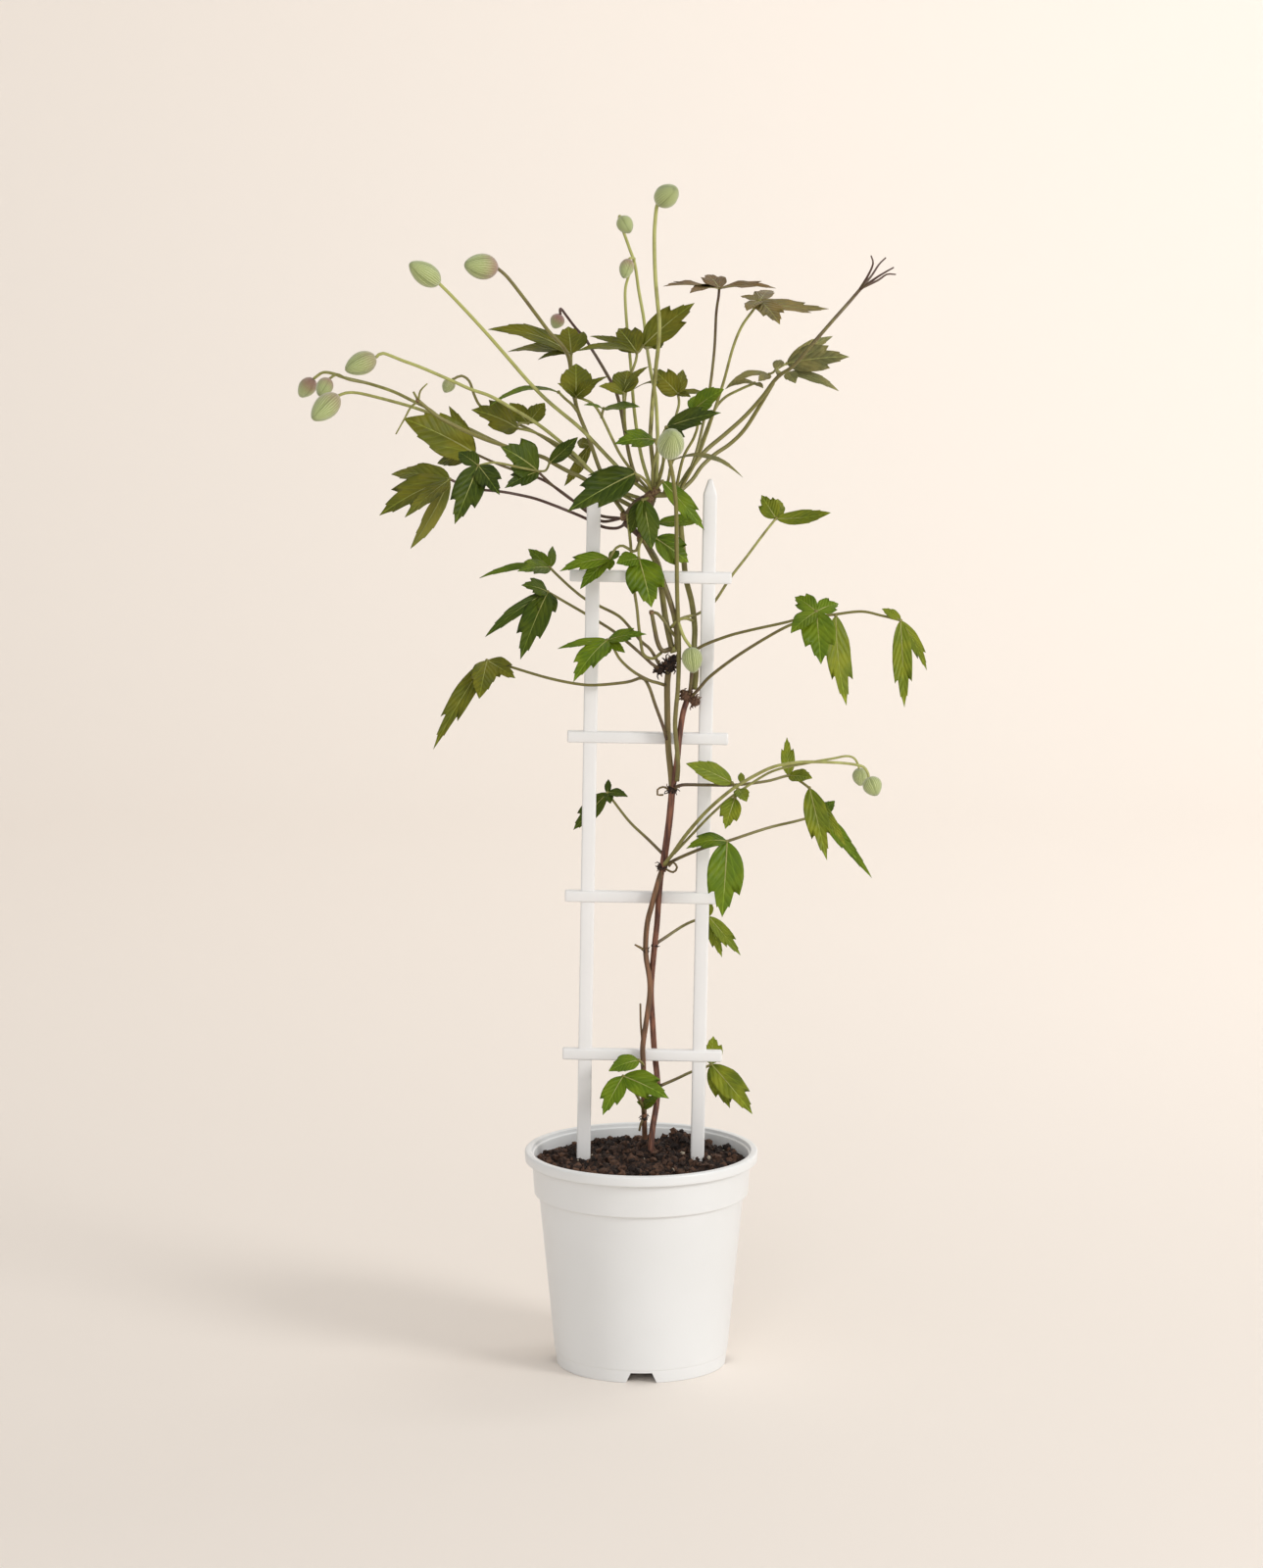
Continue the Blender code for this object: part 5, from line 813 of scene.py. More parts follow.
TONES = {
    "dark": (0.045, 0.075, 0.004), "green": (0.1, 0.168, 0.006), "fresh": (0.165, 0.215, 0.014),
    "olive": (0.118, 0.13, 0.009), "grey": (0.2, 0.2, 0.075), "bronze": (0.135, 0.088, 0.03),
    "straw": (0.17, 0.14, 0.045),
}
upper = {}
lower = {}
for tone, colour in TONES.items():
    vein = [part * 1.5 + add for part, add in zip(colour, (0.1, 0.12, 0.02))]
    upper[tone] = leaf_finish(f"{tone}_leaf", colour, vein, 0.4, False)
    pale = [part * 0.75 + add for part, add in zip(colour, (0.12, 0.13, 0.04))]
    lower[tone] = leaf_finish(f"{tone}_leaf_underside", pale, [part * 1.25 for part in pale], 0.6, True)

stalk_finish = Finish("stalk", Roughness=0.45)
ripe = stalk_finish.tint() + (stalk_finish.speckle(7, 3) - 0.5) * 0.5
young = stalk_finish.mix(stalk_finish.range(ripe, 0.05, 0.45), rgb(0.42, 0.43, 0.13), rgb(0.2, 0.18, 0.045))
old = stalk_finish.mix(stalk_finish.range(ripe, 0.45, 0.9), young, rgb(0.085, 0.04, 0.028))
stalk_finish.feed("Base Color", old)
along, across = stalk_finish.grain()
ribs = (across * 6).zigzag()
stalk_finish.raise_by(ribs, 0.25 * MM)

bark = Finish("bark", Roughness=0.6)
streak = bark.speckle(2.2, 4, stretch=(1, 1, 0.12))
colour = bark.mix(bark.range(streak, 0.35, 0.7), rgb(0.075, 0.026, 0.017), rgb(0.26, 0.105, 0.058))
bark.feed("Base Color", bark.mix(bark.tint(), colour, rgb(0.2, 0.17, 0.055)))
along, across = bark.grain()
ribs = (across * 6).zigzag()
bark.raise_by(ribs + streak * 0.8, 0.5 * MM)

husk = Finish("husk", Roughness=0.85)
shade = husk.tint() + (husk.speckle(1.5, 3) - 0.5) * 1.1
brown = husk.mix(husk.range(shade, 0.0, 0.5), rgb(0.012, 0.007, 0.006), rgb(0.13, 0.065, 0.035))
husk.feed("Base Color", husk.mix(husk.range(shade, 0.55, 1.1), brown, rgb(0.42, 0.3, 0.14)))
husk.raise_by(husk.speckle(0.8, 3), 0.6 * MM)

silk = Finish("bud_silk", Roughness=0.6)
along, across = silk.grain()
stripe = (across * 30 + silk.speckle(3) * 0.8).zigzag()
green = silk.mix(silk.range(stripe, 0.1, 0.5), rgb(0.27, 0.33, 0.09), rgb(0.52, 0.57, 0.28))
# Painted shade: the green is darkened along the four grooves where the petals meet.
groove_shade = abs((across * 4).zigzag() - 0.5)
green = silk.mix((1 - silk.range(groove_shade, 0.0, 0.09)) * 0.75, green, rgb(0.17, 0.21, 0.05))
blush = silk.tint() * (1 - silk.range(along, 0.05, 0.75))
silk.feed("Base Color", silk.mix(blush, green, rgb(0.3, 0.14, 0.11)))
silk.feed("Sheen Weight", 0.5)
silk.raise_by(stripe, 0.3 * MM)
print("finishes:", len(upper) + len(lower) + 4)

# %% [markdown]
# ## Leaflets
# Each leaflet is a grid that is laid over its plan: rows run along the midrib, and each row's ends are
# drawn out to the outline, so teeth and lobes are real edges and no picture is needed. The blade folds
# a little along the midrib, arches, and ripples at its edge. The grid is then extruded by a quarter of
# a millimetre, which gives a lower face with a finish of its own. A thin tube is the midrib.

# %% The leaflets' outlines
OUTLINES = {
    "plain": [
        (0, 0, 0), (0.04, 0.03, 0.25), (0.1, 0.08, 0.5), (0.17, 0.15, 0.7), (0.25, 0.23, 0.86),
        (0.34, 0.33, 0.96), (0.44, 0.44, 1), (0.52, 0.53, 0.97), (0.58, 0.62, 0.9), (0.61, 0.615, 0.82),
        (0.68, 0.69, 0.72), (0.74, 0.785, 0.62), (0.77, 0.78, 0.53), (0.85, 0.86, 0.36), (0.93, 0.94, 0.17),
        (1, 1, 0)],
    "lobed": [
        (0, 0, 0), (0.04, 0.03, 0.24), (0.1, 0.08, 0.48), (0.16, 0.14, 0.67), (0.22, 0.2, 0.81),
        (0.3, 0.28, 0.94), (0.38, 0.37, 1), (0.44, 0.46, 1.01), (0.5, 0.57, 0.96), (0.56, 0.7, 0.85),
        (0.59, 0.665, 0.69), (0.64, 0.66, 0.53), (0.7, 0.715, 0.49), (0.76, 0.785, 0.43),
        (0.81, 0.865, 0.35), (0.84, 0.855, 0.27), (0.91, 0.915, 0.15), (1, 1, 0)],
}
ACROSS = (-1, -0.86, -0.64, -0.38, -0.13, 0, 0.13, 0.38, 0.64, 0.86, 1)
BLADE = 0.25 * MM
FOLD = 0.14
RIPPLE = 0.035


# %% One leaflet
def unfold(bm, base, leaf, dice):
    """A leaflet from its foot to its tip, with both faces and its midrib."""
    reach = spot(*leaf["tip"]) - base
    along = reach.normalized()
    turn = math.radians(leaf["turn"])
    lift = math.radians(leaf["lift"])
    facing = Vector((math.sin(turn) * math.cos(lift), -math.cos(turn) * math.cos(lift), math.sin(lift)))
    facing = (facing - along * along.dot(facing)).normalized()
    side = facing.cross(along)
    rows = OUTLINES[leaf["outline"]]
    width = leaf["width"] * MM
    shift = {-1: dice.uniform(-0.04, 0.05), 0: 0, 1: dice.uniform(-0.04, 0.05)}
    start = dice.random()
    shade = dice.uniform(0, 1)

    def surface(middle, edge, share, across):
        which = (across > 0) - (across < 0)
        late = max(0, middle - 0.35) * (1 - middle) * 4
        forward = middle + (edge + shift[which] * late - middle) * abs(across)
        half = share * width / 2 * (1 + shift[which] * 2 * late) * abs(across)
        rise = 4 * forward * (1 - forward) * leaf["arch"] * MM + FOLD * half
        rise += RIPPLE * width * math.sin(math.tau * (2.5 * forward + start)) * across ** 2 * share
        return forward, half * which, base + reach * forward + side * half * which + facing * rise

    verts = bmesh.ops.create_grid(bm, x_segments=len(rows) - 1, y_segments=len(ACROSS) - 1, size=0.5)["verts"]
    uv = bm.loops.layers.uv["grain"]
    tint = bm.verts.layers.float["tint"]
    for vert in verts:
        row = rows[round((vert.co.x + 0.5) * (len(rows) - 1))]
        across = ACROSS[round((vert.co.y + 0.5) * (len(ACROSS) - 1))]
        forward, half, vert.co = surface(*row, across)
        vert[tint] = shade
        for loop in vert.link_loops:
            loop[uv].uv = (forward, 0.5 + half / width)
    faces = faces_of(verts)
    bmesh.ops.remove_doubles(bm, verts=verts, dist=CLOSE)
    faces = [face for face in faces if face.is_valid]
    made = bmesh.ops.extrude_face_region(bm, geom=faces, use_keep_orig=True)["geom"]
    under = [item for item in made if isinstance(item, bmesh.types.BMVert)]
    bmesh.ops.translate(bm, vec=-facing * BLADE, verts=under)
    whole = faces_of([vert for face in faces for vert in face.verts])
    whole = list(set(whole) | set(faces_of(under)))
    bmesh.ops.recalc_face_normals(bm, faces=whole)
    for face in whole:
        face.smooth = True
    for item in made:
        if isinstance(item, bmesh.types.BMFace):
            item.material_index = 1
    rib = [surface(share, share, 0, 0)[2] - facing * 0.25 * MM for share in (0, 0.15, 0.3, 0.5, 0.7, 0.88)]
    tube(bm, rib, 0.3 + width * 22, 0.12, (0.25, 0.1), 5, 2)


def knuckle(bm, centre, radius, tint, material, dice, rough=0.12):
    """A small swelling where stalks or leaflets meet."""
    place = Matrix.Translation(centre)
    verts = bmesh.ops.create_icosphere(bm, subdivisions=2, radius=radius * MM, matrix=place)["verts"]
    layer = bm.verts.layers.float["tint"]
    for vert in verts:
        vert.co += (vert.co - centre) * dice.uniform(-rough, rough)
        vert[layer] = tint
    for face in faces_of(verts):
        face.smooth = True
        face.material_index = material

# %% [markdown]
# ## Leaves
# A leaf is one or more fans of leaflets on a stalk. Where the stalk springs from the woody stem it is
# part of the leaf, and otherwise it belongs to the crown.

# %% Grow the leaves
STEM_GAP = 2 * MM


def leaf_route(leaf):
    return spots(leaf["stalk"] + [leaf["fans"][0][0]])


for name, leaf in LEAVES.items():
    bm = new_mesh()
    dice = random.Random(name)
    slot_tone = LEAF_TONES.get(name, "green")
    tone = "straw" if name == "leaf_umbrella_right" else slot_tone
    if "own_stalk" in leaf:
        tube(bm, shortened(leaf_route(leaf), STEM_GAP), 1.25, 0.95, (0.75, 0.4), 8, 2)
    for sprig in leaf.get("sprigs", []):
        tube(bm, spots(sprig), 0.95, 0.8, (0.3, 0.3), 7, 2)
    for centre, leaflets in leaf["fans"]:
        knuckle(bm, spot(*centre), 1.35, 0.4, 2, dice)
        for each in leaflets:
            unfold(bm, spot(*centre), each, dice)
    finished(name + "_grown", bm, [upper[tone], lower[tone], stalk_finish], name)

# %% [markdown]
# ## The crown's stalks
# Flower and leaf stalks rise from the crown. The freshest are yellow green, and those that had the most
# sun are purple brown, so each stalk has a tint at its foot and at its tip.

# %% Grow the stalks
TINTS = {
    "twin_left": (0.6, 0.5), "twin_front": (0.65, 0.6), "cut_stem": (0.5, 0.3), "bud_1": (0.35, 0.0),
    "bud_2": (0.5, 0.6), "bud_3": (0.3, 0.1), "bud_4": (0.4, 0.2), "bud_6": (0.4, 0.2), "bud_7": (0.3, 0.5),
    "bud_8": (0.6, 0.95), "bud_9": (0.45, 0.05), "bud_10": (0.2, 0.0), "bud_11": (0.2, 0.0),
    "bud_12": (0.6, 0.45), "bud_13": (0.2, 0.0), "right_shoot": (0.3, 0.75), "right_shoot_twin": (0.4, 0.5),
    "left_shoot": (0.5, 0.45), "red_node": (0.75, 0.6), "red_branch": (0.6, 0.5), "crown": (0.8, 0.7),
    "crown_left": (0.8, 0.9), "crown_fork": (0.7, 0.8), "left_thread": (0.5, 0.3), "prong_1": (0.8, 0.95),
    "prong_2": (0.8, 0.95), "prong_3": (0.8, 0.95), "prong_4": (0.8, 0.95), "leaf_umbrella": (0.3, 0.8),
    "leaf_left_low": (0.95, 0.9), "leaf_left_grey": (0.9, 0.7), "leaf_left_dark": (0.9, 0.8),
}
bm = new_mesh()
dice = random.Random(3)
for name, (route, first, last) in STALKS.items():
    line = spots(route)
    if name in BUDS:
        line.append(spot(*BUDS[name][0]))
    tube(bm, line, first * 1.12, last * 1.2, TINTS.get(name, (0.4, 0.25)), 9 if first > 1.6 else 8)
for name, leaf in LEAVES.items():
    if "own_stalk" not in leaf:
        tube(bm, leaf_route(leaf), 1.15, 0.95, TINTS.get(name, (0.45, 0.25)), 8)
for across, down, toward, radius in CROWN_NODES:
    knuckle(bm, spot(across, down, toward), radius * 0.85, 0.75, 1, dice, 0.2)
finished("stalks_grown", bm, [stalk_finish, husk], "stalks")

# %% [markdown]
# ## Woody stems and their knots
# The old stems are reddish brown and ribbed. Where leaves once grew they carry knots of dark husk: a
# rough lump with short curled scales round it.

# %% Grow the stems
STEM_TINTS = {"light": (0.1, 0.25), "olive": (0.75, 0.7), "dead_twig": (0.4, 0.4), "dead_stub": (0.5, 0.5),
              "leaf_stub": (0.6, 0.6), "low_tendril": (0.6, 0.6), "high_tendril": (0.6, 0.6)}
# Knots to the right of this line are paler.
KNOT_LINE = 695
bm = new_mesh()
dice = random.Random(5)
for name, (route, first, last) in WOODY_STEMS.items():
    tube(bm, spots(route), first, last, STEM_TINTS.get(name, (0, 0)), 12 if first > 1.6 else 7)
for across, down, toward, radius in KNOTS:
    centre = spot(across, down, toward)
    dead = 0.45 if across > KNOT_LINE else 0.1
    knuckle(bm, centre, radius * 0.8, dead, 1, dice, 0.25)
    for scale in range(round(radius * 4.5)):
        way = Vector((dice.uniform(-1, 1), dice.uniform(-1, 1), dice.uniform(-0.5, 1))).normalized()
        side = way.orthogonal() * dice.uniform(-1, 1)
        reach = radius * dice.uniform(0.9, 1.5) * MM
        curl = [centre + way * reach * 0.5, centre + way * reach * 0.9 + side * reach * 0.15,
                centre + way * reach + side * reach * 0.45]
        tube(bm, curl, radius * 0.17, 0.12, (dead - 0.1, dead + dice.uniform(0, 0.6)), 5, 1)
finished("stems_grown", bm, [bark, husk], "stems")

# %% [markdown]
# ## Buds
# A closed bud is an egg of four petals that meet edge to edge, and fine silky hairs lie on it. The egg
# is a sphere drawn out along its axis, with a groove where petals meet. Hairs are real, thin
# three-sided cones, so the bud's outline is soft from every side.

# %% Grow the buds
HAIRS = 150


def bud(bm, foot, tip, width, blush, dice):
    """A closed bud from its foot to its tip. Blush is how red its foot is."""
    axis = tip - foot
    turn = axis.to_track_quat("Z", "Y").to_matrix()
    uv = bm.loops.layers.uv["grain"]
    tint = bm.verts.layers.float["tint"]
    verts = bmesh.ops.create_uvsphere(bm, u_segments=32, v_segments=18, radius=1)["verts"]

    def skin(share, angle):
        groove = 0.055 * math.exp(-(math.cos(2 * angle) / 0.2) ** 2) * math.sin(math.pi * share)
        radius = width / 2 * MM * math.sin(math.pi * share ** 0.82) ** 0.62 * (1 - groove)
        return foot + turn @ Vector((radius * math.cos(angle), radius * math.sin(angle), axis.length * share))

    for vert in verts:
        share = math.acos(max(-1, min(1, -vert.co.z))) / math.pi
        angle = math.atan2(vert.co.y, vert.co.x)
        for loop in vert.link_loops:
            middle = loop.face.calc_center_median()
            seen = math.atan2(middle.y, middle.x)
            near = angle if share in (0, 1) else angle + math.tau * round((seen - angle) / math.tau)
            loop[uv].uv = (share, near / math.tau)
    for vert in verts:
        share = math.acos(max(-1, min(1, -vert.co.z))) / math.pi
        vert.co = skin(share, math.atan2(vert.co.y, vert.co.x))
        vert[tint] = blush
    for face in faces_of(verts):
        face.smooth = True
    for number in range(HAIRS):
        share = dice.uniform(0.06, 0.95)
        angle = dice.uniform(0, math.tau)
        root = skin(share, angle)
        ahead = (skin(min(0.99, share + 0.04), angle) - root).normalized()
        out = (root - foot - axis * share).normalized()
        way = (ahead + out * dice.uniform(0.25, 0.8)).normalized()
        length = dice.uniform(0.8, 1.5) * MM
        lean = way.to_track_quat("Z", "Y").to_matrix().to_4x4()
        place = Matrix.Translation(root + way * length * 0.45) @ lean
        hair = bmesh.ops.create_cone(bm, cap_ends=True, segments=3, radius1=0.055 * MM, radius2=0,
                                     depth=length, matrix=place)["verts"]
        for vert in hair:
            vert[tint] = 0
        for face in faces_of(hair):
            face.material_index = 1


fuzz = Finish("bud_hair", Base_Color=rgb(0.72, 0.75, 0.55), Roughness=0.5)
BLUSH = {"bud_2": 0.9, "bud_3": 0.45, "bud_4": 0.9, "bud_5": 0.9, "bud_6": 0.6, "bud_7": 0.3, "bud_8": 1,
         "bud_11": 0.8}
for name, (foot, tip, width) in BUDS.items():
    bm = new_mesh()
    bud(bm, spot(*foot), spot(*tip), width, BLUSH.get(name, 0.05), random.Random(name))
    finished(name + "_grown", bm, [silk, fuzz], name)
bm = new_mesh()
for route, first, last in HANGING_STALKS.values():
    tube(bm, spots(route), first, last, (0.4, 0.15), 8, 2)
for foot, tip, width in HANGING_BUDS:
    bud(bm, spot(*foot), spot(*tip), width, 0.05, random.Random(width))
finished("buds_right_grown", bm, [silk, fuzz, stalk_finish], "buds_right")

# %% [markdown]
# ## The pot
# A nursery pot is moulded in one go, so its wall has the same thickness everywhere and all its corners
# are round. We draw half of its section, round the corners, and spin the line once round the axis.
# The notches in the foot and the drain holes are cut last, with Booleans.

# %% Turn the pot
def rounded(corners, steps=3):
    """The same line with each corner that has a radius made round."""
    line = []
    for number, (radius, height, bend) in enumerate(corners):
        here = Vector((radius, 0, height))
        if not bend:
            line.append(here)
            continue
        before, after = (Vector((corners[k][0], 0, corners[k][1])) for k in (number - 1, number + 1))
        first = here + (before - here).normalized() * bend * MM
        last = here + (after - here).normalized() * bend * MM
        for step in range(steps + 1):
            t = step / steps
            line.append(first.lerp(here, t).lerp(here.lerp(last, t), t))
    return line


def spun(name, line, steps):
    """The line turned once round the upright axis."""
    bm = bmesh.new()
    verts = [bm.verts.new(point) for point in line]
    edges = [bm.edges.new(pair) for pair in zip(verts, verts[1:])]
    bmesh.ops.spin(bm, geom=verts + edges, cent=(0, 0, 0), axis=(0, 0, 1), angle=math.tau, steps=steps,
                   use_merge=True)
    bmesh.ops.remove_doubles(bm, verts=bm.verts[:], dist=CLOSE)
    bmesh.ops.recalc_face_normals(bm, faces=bm.faces[:])
    return plain(name, bm)


def combined(piece, others, operation):
    """The piece joined with the others or cut by them, made one plain mesh."""
    for other in others:
        modifier = piece.modifiers.new(other.name, "BOOLEAN")
        modifier.operation = operation
        modifier.object = other
        modifier.solver = "EXACT"
    bpy.context.view_layer.update()
    graph = bpy.context.evaluated_depsgraph_get()
    mesh = bpy.data.meshes.new_from_object(piece.evaluated_get(graph))
    for thing in [piece, *others]:
        bpy.data.objects.remove(thing, do_unlink=True)
    return mesh


def sharpened(mesh, degrees=40):
    """A bmesh of the mesh, smooth but for its sharp corners."""
    bm = bmesh.new()
    bm.from_mesh(mesh)
    for face in bm.faces:
        face.smooth = True
        face.material_index = 0
    for edge in bm.edges:
        if len(edge.link_faces) == 2 and edge.calc_face_angle() > math.radians(degrees):
            edge.smooth = False
    return bm


lip_foot = POT_HEIGHT - LIP_HEIGHT
# Each corner has its radius, its height, and how far it is rounded in millimetres. The line runs from
# the middle of the floor up the inside, over the rim, down the outside, and back under the floor.
SECTION = [
    (0, FLOOR_HEIGHT, 0), (FOOT_RADIUS - WALL, FLOOR_HEIGHT, 2),
    (STEP_RADIUS - WALL, STEP_HEIGHT - 1.5 * MM, 1.5),
    (BAND_FOOT_RADIUS - WALL, STEP_HEIGHT + WALL, 1.5), (BAND_RADIUS - WALL, lip_foot, 0.5),
    (BAND_RADIUS - 1.4 * MM, POT_HEIGHT - 3 * MM, 0.5), (BAND_RADIUS - 0.2 * MM, POT_HEIGHT - 2.4 * MM, 0.5),
    (BAND_RADIUS + 0.4 * MM, POT_HEIGHT, 0.7), (RIM_RADIUS, POT_HEIGHT, 1.6),
    (RIM_RADIUS - 0.3 * MM, lip_foot, 1), (BAND_RADIUS, lip_foot, 0.8),
    (BAND_FOOT_RADIUS, STEP_HEIGHT, 1.2), (STEP_RADIUS, STEP_HEIGHT - 0.6 * MM, 1),
    (FOOT_RADIUS + 1 * MM, FLOOR_HEIGHT, 0.4), (FOOT_RADIUS + 0.55 * MM, FLOOR_HEIGHT - 0.9 * MM, 0.4),
    (FOOT_RADIUS, 0, 0.7), (FOOT_RADIUS - 6 * MM, 0, 0.5),
    (FOOT_RADIUS - 6 * MM, FLOOR_HEIGHT - WALL, 1), (0, FLOOR_HEIGHT - WALL, 0),
]
NOTCH_WIDTHS = (23.4 * MM, 15.5 * MM)
NOTCH_HEIGHTS = (-1 * MM, 7.6 * MM)
NOTCH_DEPTH = 18 * MM
DRAIN_RING = 36 * MM
DRAIN_RADIUS = 4.5 * MM
pot = spun("pot_turned", rounded(SECTION), 128)
blocks = []
for number in range(4):
    bm = bmesh.new()
    bmesh.ops.create_cube(bm, size=1)
    for vert in bm.verts:
        upper_end = int(vert.co.z > 0)
        y = vert.co.y * NOTCH_DEPTH - FOOT_RADIUS
        vert.co = Vector((vert.co.x * NOTCH_WIDTHS[upper_end], y, NOTCH_HEIGHTS[upper_end]))
    turn = Matrix.Rotation(math.tau * number / 4, 3, "Z")
    bmesh.ops.rotate(bm, verts=bm.verts[:], cent=(0, 0, 0), matrix=turn)
    blocks.append(plain("notch", bm))
for number in range(5):
    turn = math.tau * (number + 0.5) / 5
    middle = Vector((math.cos(turn) * DRAIN_RING, math.sin(turn) * DRAIN_RING, FLOOR_HEIGHT - WALL / 2))
    bm = bmesh.new()
    bmesh.ops.create_cone(bm, cap_ends=True, segments=24, radius1=DRAIN_RADIUS, radius2=DRAIN_RADIUS,
                          depth=3 * WALL, matrix=Matrix.Translation(middle))
    blocks.append(plain("drain", bm))
pot_mesh = combined(pot, blocks, "DIFFERENCE")

white = Finish("pot_plastic", Roughness=0.36)
white.feed("Base Color", white.mix(white.speckle(60, 2), rgb(0.755, 0.765, 0.765), rgb(0.812, 0.828, 0.838)))
white.raise_by(white.speckle(1.5, 2) + white.speckle(25, 1) * 2, 0.03 * MM)
finished("pot_turned_fine", sharpened(pot_mesh), [white], "pot")

# %% [markdown]
# ## The trellis
# The ladder is one moulding with softened edges. Each bar is a cube drawn to size, bevelled along
# its edges, and the bars are joined with Booleans, so that no wall is left inside.

# %% Build the ladder
TRELLIS_FOOT = 51 * MM
TRELLIS_LENGTH = 600 * MM
TRELLIS_LEAN = math.radians(0.97)
TRELLIS_SHIFT = -3.2 * MM
POINT_LENGTH = 11 * MM
UPRIGHT_ASIDE = 41.5 * MM
UPRIGHT_WIDTH = 10 * MM
UPRIGHT_DEPTH = 7 * MM
RUNG_SIZE = Vector((116, 7.2, 8.3)) * MM
RUNG_SHIFT = -1.15 * MM
TOP_RUNG_DROP = 70.8 * MM
RUNG_PITCH = 116.8 * MM
BAR_ROUND = 1.3 * MM


def bar(name, size, middle, pointed=False):
    """One straight bar, with a point on top if asked."""
    bm = bmesh.new()
    bmesh.ops.create_cube(bm, size=1)
    bmesh.ops.scale(bm, vec=size, verts=bm.verts[:])
    bmesh.ops.translate(bm, vec=middle, verts=bm.verts[:])
    if pointed:
        bm.normal_update()
        top = [face for face in bm.faces if face.normal.z > 0.9]
        tip = bmesh.ops.extrude_discrete_faces(bm, faces=top)["faces"][0]
        for vert in tip.verts:
            vert.co.x += (middle[0] - vert.co.x) * 0.68
            vert.co.y += (middle[1] - vert.co.y) * 0.45
            vert.co.z += POINT_LENGTH
    bmesh.ops.bevel(bm, geom=bm.edges[:], offset=BAR_ROUND, offset_type="OFFSET", segments=3, profile=0.5,
                    affect="EDGES", material=-1)
    return plain(name, bm)


shaft = TRELLIS_LENGTH - POINT_LENGTH
bars = []
for across in (-UPRIGHT_ASIDE, UPRIGHT_ASIDE):
    size = Vector((UPRIGHT_WIDTH, UPRIGHT_DEPTH, shaft))
    bars.append(bar("upright", size, Vector((across, 0, TRELLIS_FOOT + shaft / 2)), True))
for number in range(4):
    height = TRELLIS_FOOT + TRELLIS_LENGTH - TOP_RUNG_DROP - number * RUNG_PITCH
    bars.append(bar("rung", RUNG_SIZE, Vector((0, RUNG_SHIFT, height))))
trellis_mesh = combined(bars[0], bars[1:], "UNION")
trellis_mesh.transform(Matrix.Translation((TRELLIS_SHIFT, 0, 0)) @ Matrix.Rotation(TRELLIS_LEAN, 4, "Y"))
ladder = Finish("trellis_plastic", Roughness=0.4)
ladder.feed("Base Color", ladder.mix(ladder.speckle(45, 2), rgb(0.78, 0.775, 0.77), rgb(0.86, 0.855, 0.85)))
ladder.raise_by(ladder.speckle(3, 2), 0.05 * MM)
finished("trellis_fine", sharpened(trellis_mesh), [ladder], "trellis")

# %% [markdown]
# ## The soil
# Potting soil is crumbs of every size, so one surface isn't enough. A round sheet is raised by the same
# heap and clod as its solid, roughened with noise, and drawn down inside the pot. Many small crumbs
# then lie on it, with pale grit and a few root fibres.

# %% Lay the soil
SOIL_HEAP = 9 * MM
SOIL_CLOD = 12 * MM
CLOD_PLACE = Vector((30, 38)) * MM
CLOD_RADIUS = 14 * MM
CRUMBS = 1500
FIBRES = 70


def soil_rise(x, y):
    """The heap round the stems, the clod, and shallow waves that end at the pot's wall."""
    share = math.hypot(x, y) / BAND_RADIUS
    heap = SOIL_HEAP * math.exp(-(share / 0.5) ** 2)
    clod = SOIL_CLOD * math.exp(-((x - CLOD_PLACE.x) ** 2 + (y - CLOD_PLACE.y) ** 2) / CLOD_RADIUS ** 2)
    wave = math.sin(x / (4.1 * MM) + 1) * math.cos(y / (5.3 * MM)) + 0.6 * math.sin((x + y) / (2.9 * MM))
    return heap + clod + 2.2 * MM * wave * min(1, max(0, (0.96 - share) * 6))


def soil_top(x, y):
    here = Vector((x, y, 0))
    rough = noise.noise(here * 170) * 2.2 + noise.noise(here * 420) * 1.3
    rough += abs(noise.noise(here * 900)) * 0.9
    return SOIL_HEIGHT + soil_rise(x, y) + rough * MM


SOIL_RADIUS = BAND_RADIUS - WALL - 0.8 * MM
bm = new_mesh()
tint = bm.verts.layers.float["tint"]
verts = bmesh.ops.create_grid(bm, x_segments=110, y_segments=110, size=1)["verts"]
rim = [edge for edge in bm.edges if edge.is_boundary]
for vert in verts:
    u, v = vert.co.x, vert.co.y
    x = u * math.sqrt(1 - v * v / 2) * SOIL_RADIUS
    y = v * math.sqrt(1 - u * u / 2) * SOIL_RADIUS
    vert.co = (x, y, soil_top(x, y))
    vert[tint] = 0.25 + 0.5 * noise.noise(Vector((x, y, 0)) * 260)
for radius, height in ((BAND_FOOT_RADIUS - WALL - 0.7 * MM, STEP_HEIGHT + WALL),
                       (STEP_RADIUS - WALL - 0.4 * MM, STEP_HEIGHT - 1 * MM),
                       (FOOT_RADIUS - WALL - 0.4 * MM, FLOOR_HEIGHT + 0.35 * MM)):
    made = bmesh.ops.extrude_edge_only(bm, edges=rim)["geom"]
    rim = [item for item in made if isinstance(item, bmesh.types.BMEdge)]
    for vert in {vert for edge in rim for vert in edge.verts}:
        aside = Vector((vert.co.x, vert.co.y)).normalized() * radius
        vert.co = (aside.x, aside.y, height)
bmesh.ops.contextual_create(bm, geom=rim)
bmesh.ops.recalc_face_normals(bm, faces=bm.faces[:])
for face in bm.faces:
    face.smooth = True

dice = random.Random(8)


def scattered(bm, count, lay):
    """Many small things, made a few at a time, since each operator walks through the whole bmesh."""
    for start in range(0, count, 40):
        few = new_mesh()
        for number in range(min(40, count - start)):
            lay(few)
        mesh = bpy.data.meshes.new("few")
        few.to_mesh(mesh)
        few.free()
        bm.from_mesh(mesh)
        bpy.data.meshes.remove(mesh)


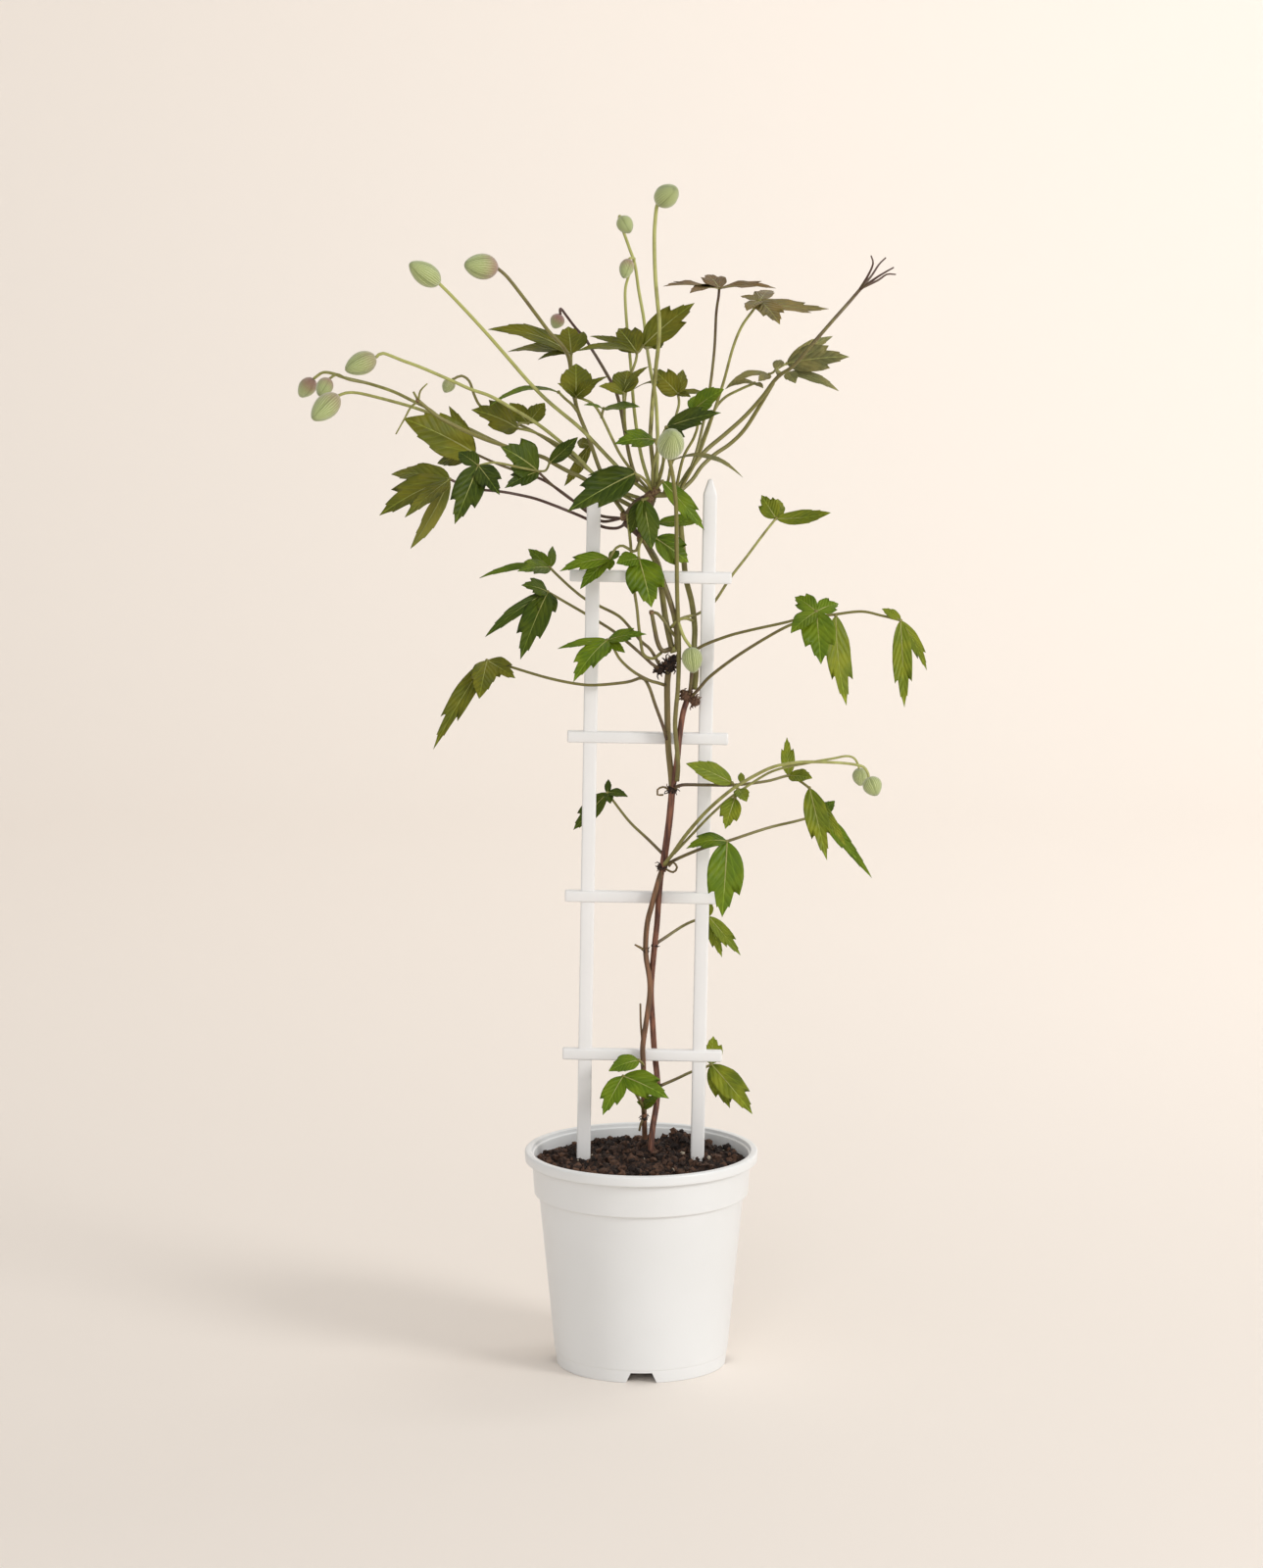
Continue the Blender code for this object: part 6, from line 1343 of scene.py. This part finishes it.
def on_soil(share):
    angle = dice.uniform(0, math.tau)
    away = SOIL_RADIUS * share * math.sqrt(dice.random())
    x, y = away * math.cos(angle), away * math.sin(angle)
    return Vector((x, y, soil_top(x, y)))


def crumb(few):
    size = dice.choice((0.5, 0.7, 0.9, 1.2, 1.2, 1.7, 2.3, 3.2)) * MM
    pale = dice.random() < 0.035
    place = Matrix.Translation(on_soil(0.97) + Vector((0, 0, size * 0.35)))
    size *= 0.6 if pale else 1
    verts = bmesh.ops.create_icosphere(few, subdivisions=1, radius=size, matrix=place)["verts"]
    shade = 1.6 if pale else dice.uniform(0, 0.75)
    for vert in verts:
        vert.co += Vector([dice.uniform(-0.35, 0.35) * size for _ in range(3)])
        vert[few.verts.layers.float["tint"]] = shade


def fibre(few):
    root = on_soil(0.9)
    way = Vector((dice.uniform(-1, 1), dice.uniform(-1, 1), dice.uniform(0, 0.5))) * dice.uniform(4, 9) * MM
    line = [root, root + way * 0.6 + Vector((0, 0, 2 * MM)), root + way]
    tube(few, line, 0.22, 0.12, (dice.uniform(0.5, 1.1), 0.7), 4)


scattered(bm, CRUMBS, crumb)
scattered(bm, FIBRES, fibre)

earth = Finish("earth", Roughness=0.95)
shade = earth.tint() + (earth.speckle(2, 4) - 0.5) * 1.2
dark = earth.mix(earth.range(shade, 0.1, 0.9), rgb(0.015, 0.008, 0.006), rgb(0.125, 0.062, 0.036))
earth.feed("Base Color", earth.mix(earth.range(shade, 1.0, 1.5), dark, rgb(0.4, 0.34, 0.26)))
earth.raise_by(earth.speckle(0.9, 4), 0.9 * MM)
finished("soil_laid", bm, [earth], "soil")

# %% [markdown]
# ## Floor, light and camera
# The pot stands on a pale sweep of paper: a floor that curves up into a wall, so no line shows. A
# soft light comes from the right like a window's, a wider one from the front is weaker, and a third
# brightens the paper behind. The sky fills the shadows. The camera stands where the photograph's
# did, which is how the pixels above find their places.

# %% Stage
SWEEP_START = 2.2
SWEEP_RADIUS = 1.5
bm = bmesh.new()
line = [bm.verts.new((side * 6, -6, 0)) for side in (-1, 1)]
edge = bm.edges.new(line)
made = bmesh.ops.extrude_edge_only(bm, edges=[edge])["geom"]
front = [item for item in made if isinstance(item, bmesh.types.BMEdge)]
bmesh.ops.translate(bm, vec=(0, 6 + SWEEP_START, 0), verts=front[0].verts[:])
turned_up = bmesh.ops.spin(bm, geom=front + front[0].verts[:], cent=(0, SWEEP_START, SWEEP_RADIUS),
                           axis=(1, 0, 0), angle=math.pi / 2, steps=32, use_merge=False)["geom_last"]
top = [item for item in turned_up if isinstance(item, bmesh.types.BMEdge)]
made = bmesh.ops.extrude_edge_only(bm, edges=top)["geom"]
highest = [item for item in made if isinstance(item, bmesh.types.BMVert)]
bmesh.ops.translate(bm, vec=(0, 0, 3.5), verts=highest)
bmesh.ops.recalc_face_normals(bm, faces=bm.faces[:])
for face in bm.faces:
    face.smooth = True
floor = plain("sweep", bm)
paper = Finish("paper", Base_Color=rgb(0.88, 0.815, 0.75), Roughness=0.9)
floor.data.materials.append(paper.material)


def soft_light(name, place, target, size, watts, colour):
    """A round lamp of this size in metres that shines from its place to its target."""
    lamp = bpy.data.lights.new(name, "AREA")
    lamp.shape = "DISK"
    lamp.size = size
    lamp.energy = watts
    lamp.color = colour
    thing = bpy.data.objects.new(name, lamp)
    bpy.context.scene.collection.objects.link(thing)
    thing.location = Vector(place) - PLANT_MIDDLE
    thing.rotation_euler = (Vector(target) - Vector(place)).to_track_quat("-Z", "Y").to_euler()


soft_light("window", (2.4, -1.7, 1.6), (0, 0, 0.35), 1.1, 44, (1, 0.985, 0.965))
soft_light("front", (-0.6, -4.4, 2.4), (0, 0, 0.5), 1.8, 30, (1, 0.99, 0.975))
soft_light("backdrop", (1.6, 1.2, 2.6), (1.2, 3.6, 0.9), 2.2, 42, (1, 0.985, 0.965))
world = bpy.data.worlds.new("sky")
world.use_nodes = True
world.node_tree.nodes["Background"].inputs["Color"].default_value = rgb(1, 0.985, 0.97)
world.node_tree.nodes["Background"].inputs["Strength"].default_value = 0.6
bpy.context.scene.world = world
bpy.context.scene.view_settings.view_transform = "Standard"
print("the stage has a sweep, three lights and a sky")

# %% Camera
lens = bpy.data.cameras.new("picture")
lens.sensor_fit = "VERTICAL"
lens.sensor_height = 36
lens.lens = VIEW_FOCAL / PICTURE[1] * 36
lens.clip_end = 50
camera = bpy.data.objects.new("picture", lens)
bpy.context.scene.collection.objects.link(camera)
camera.location = Vector((VIEW_ASIDE, -VIEW_AWAY, VIEW_HEIGHT)) - PLANT_MIDDLE
camera.rotation_euler = (math.pi / 2 - VIEW_PITCH, 0, 0)
bpy.context.scene.camera = camera
print("the camera stands at", camera.location)

# %% [markdown]
# ## Box corners
# The dressed object has to fill the same box as the solids. A small helper rounds a box's corners.

# %% A helper for the boxes' corners
def corners(box):
    return [[round(part, 5) for part in corner] for corner in box]
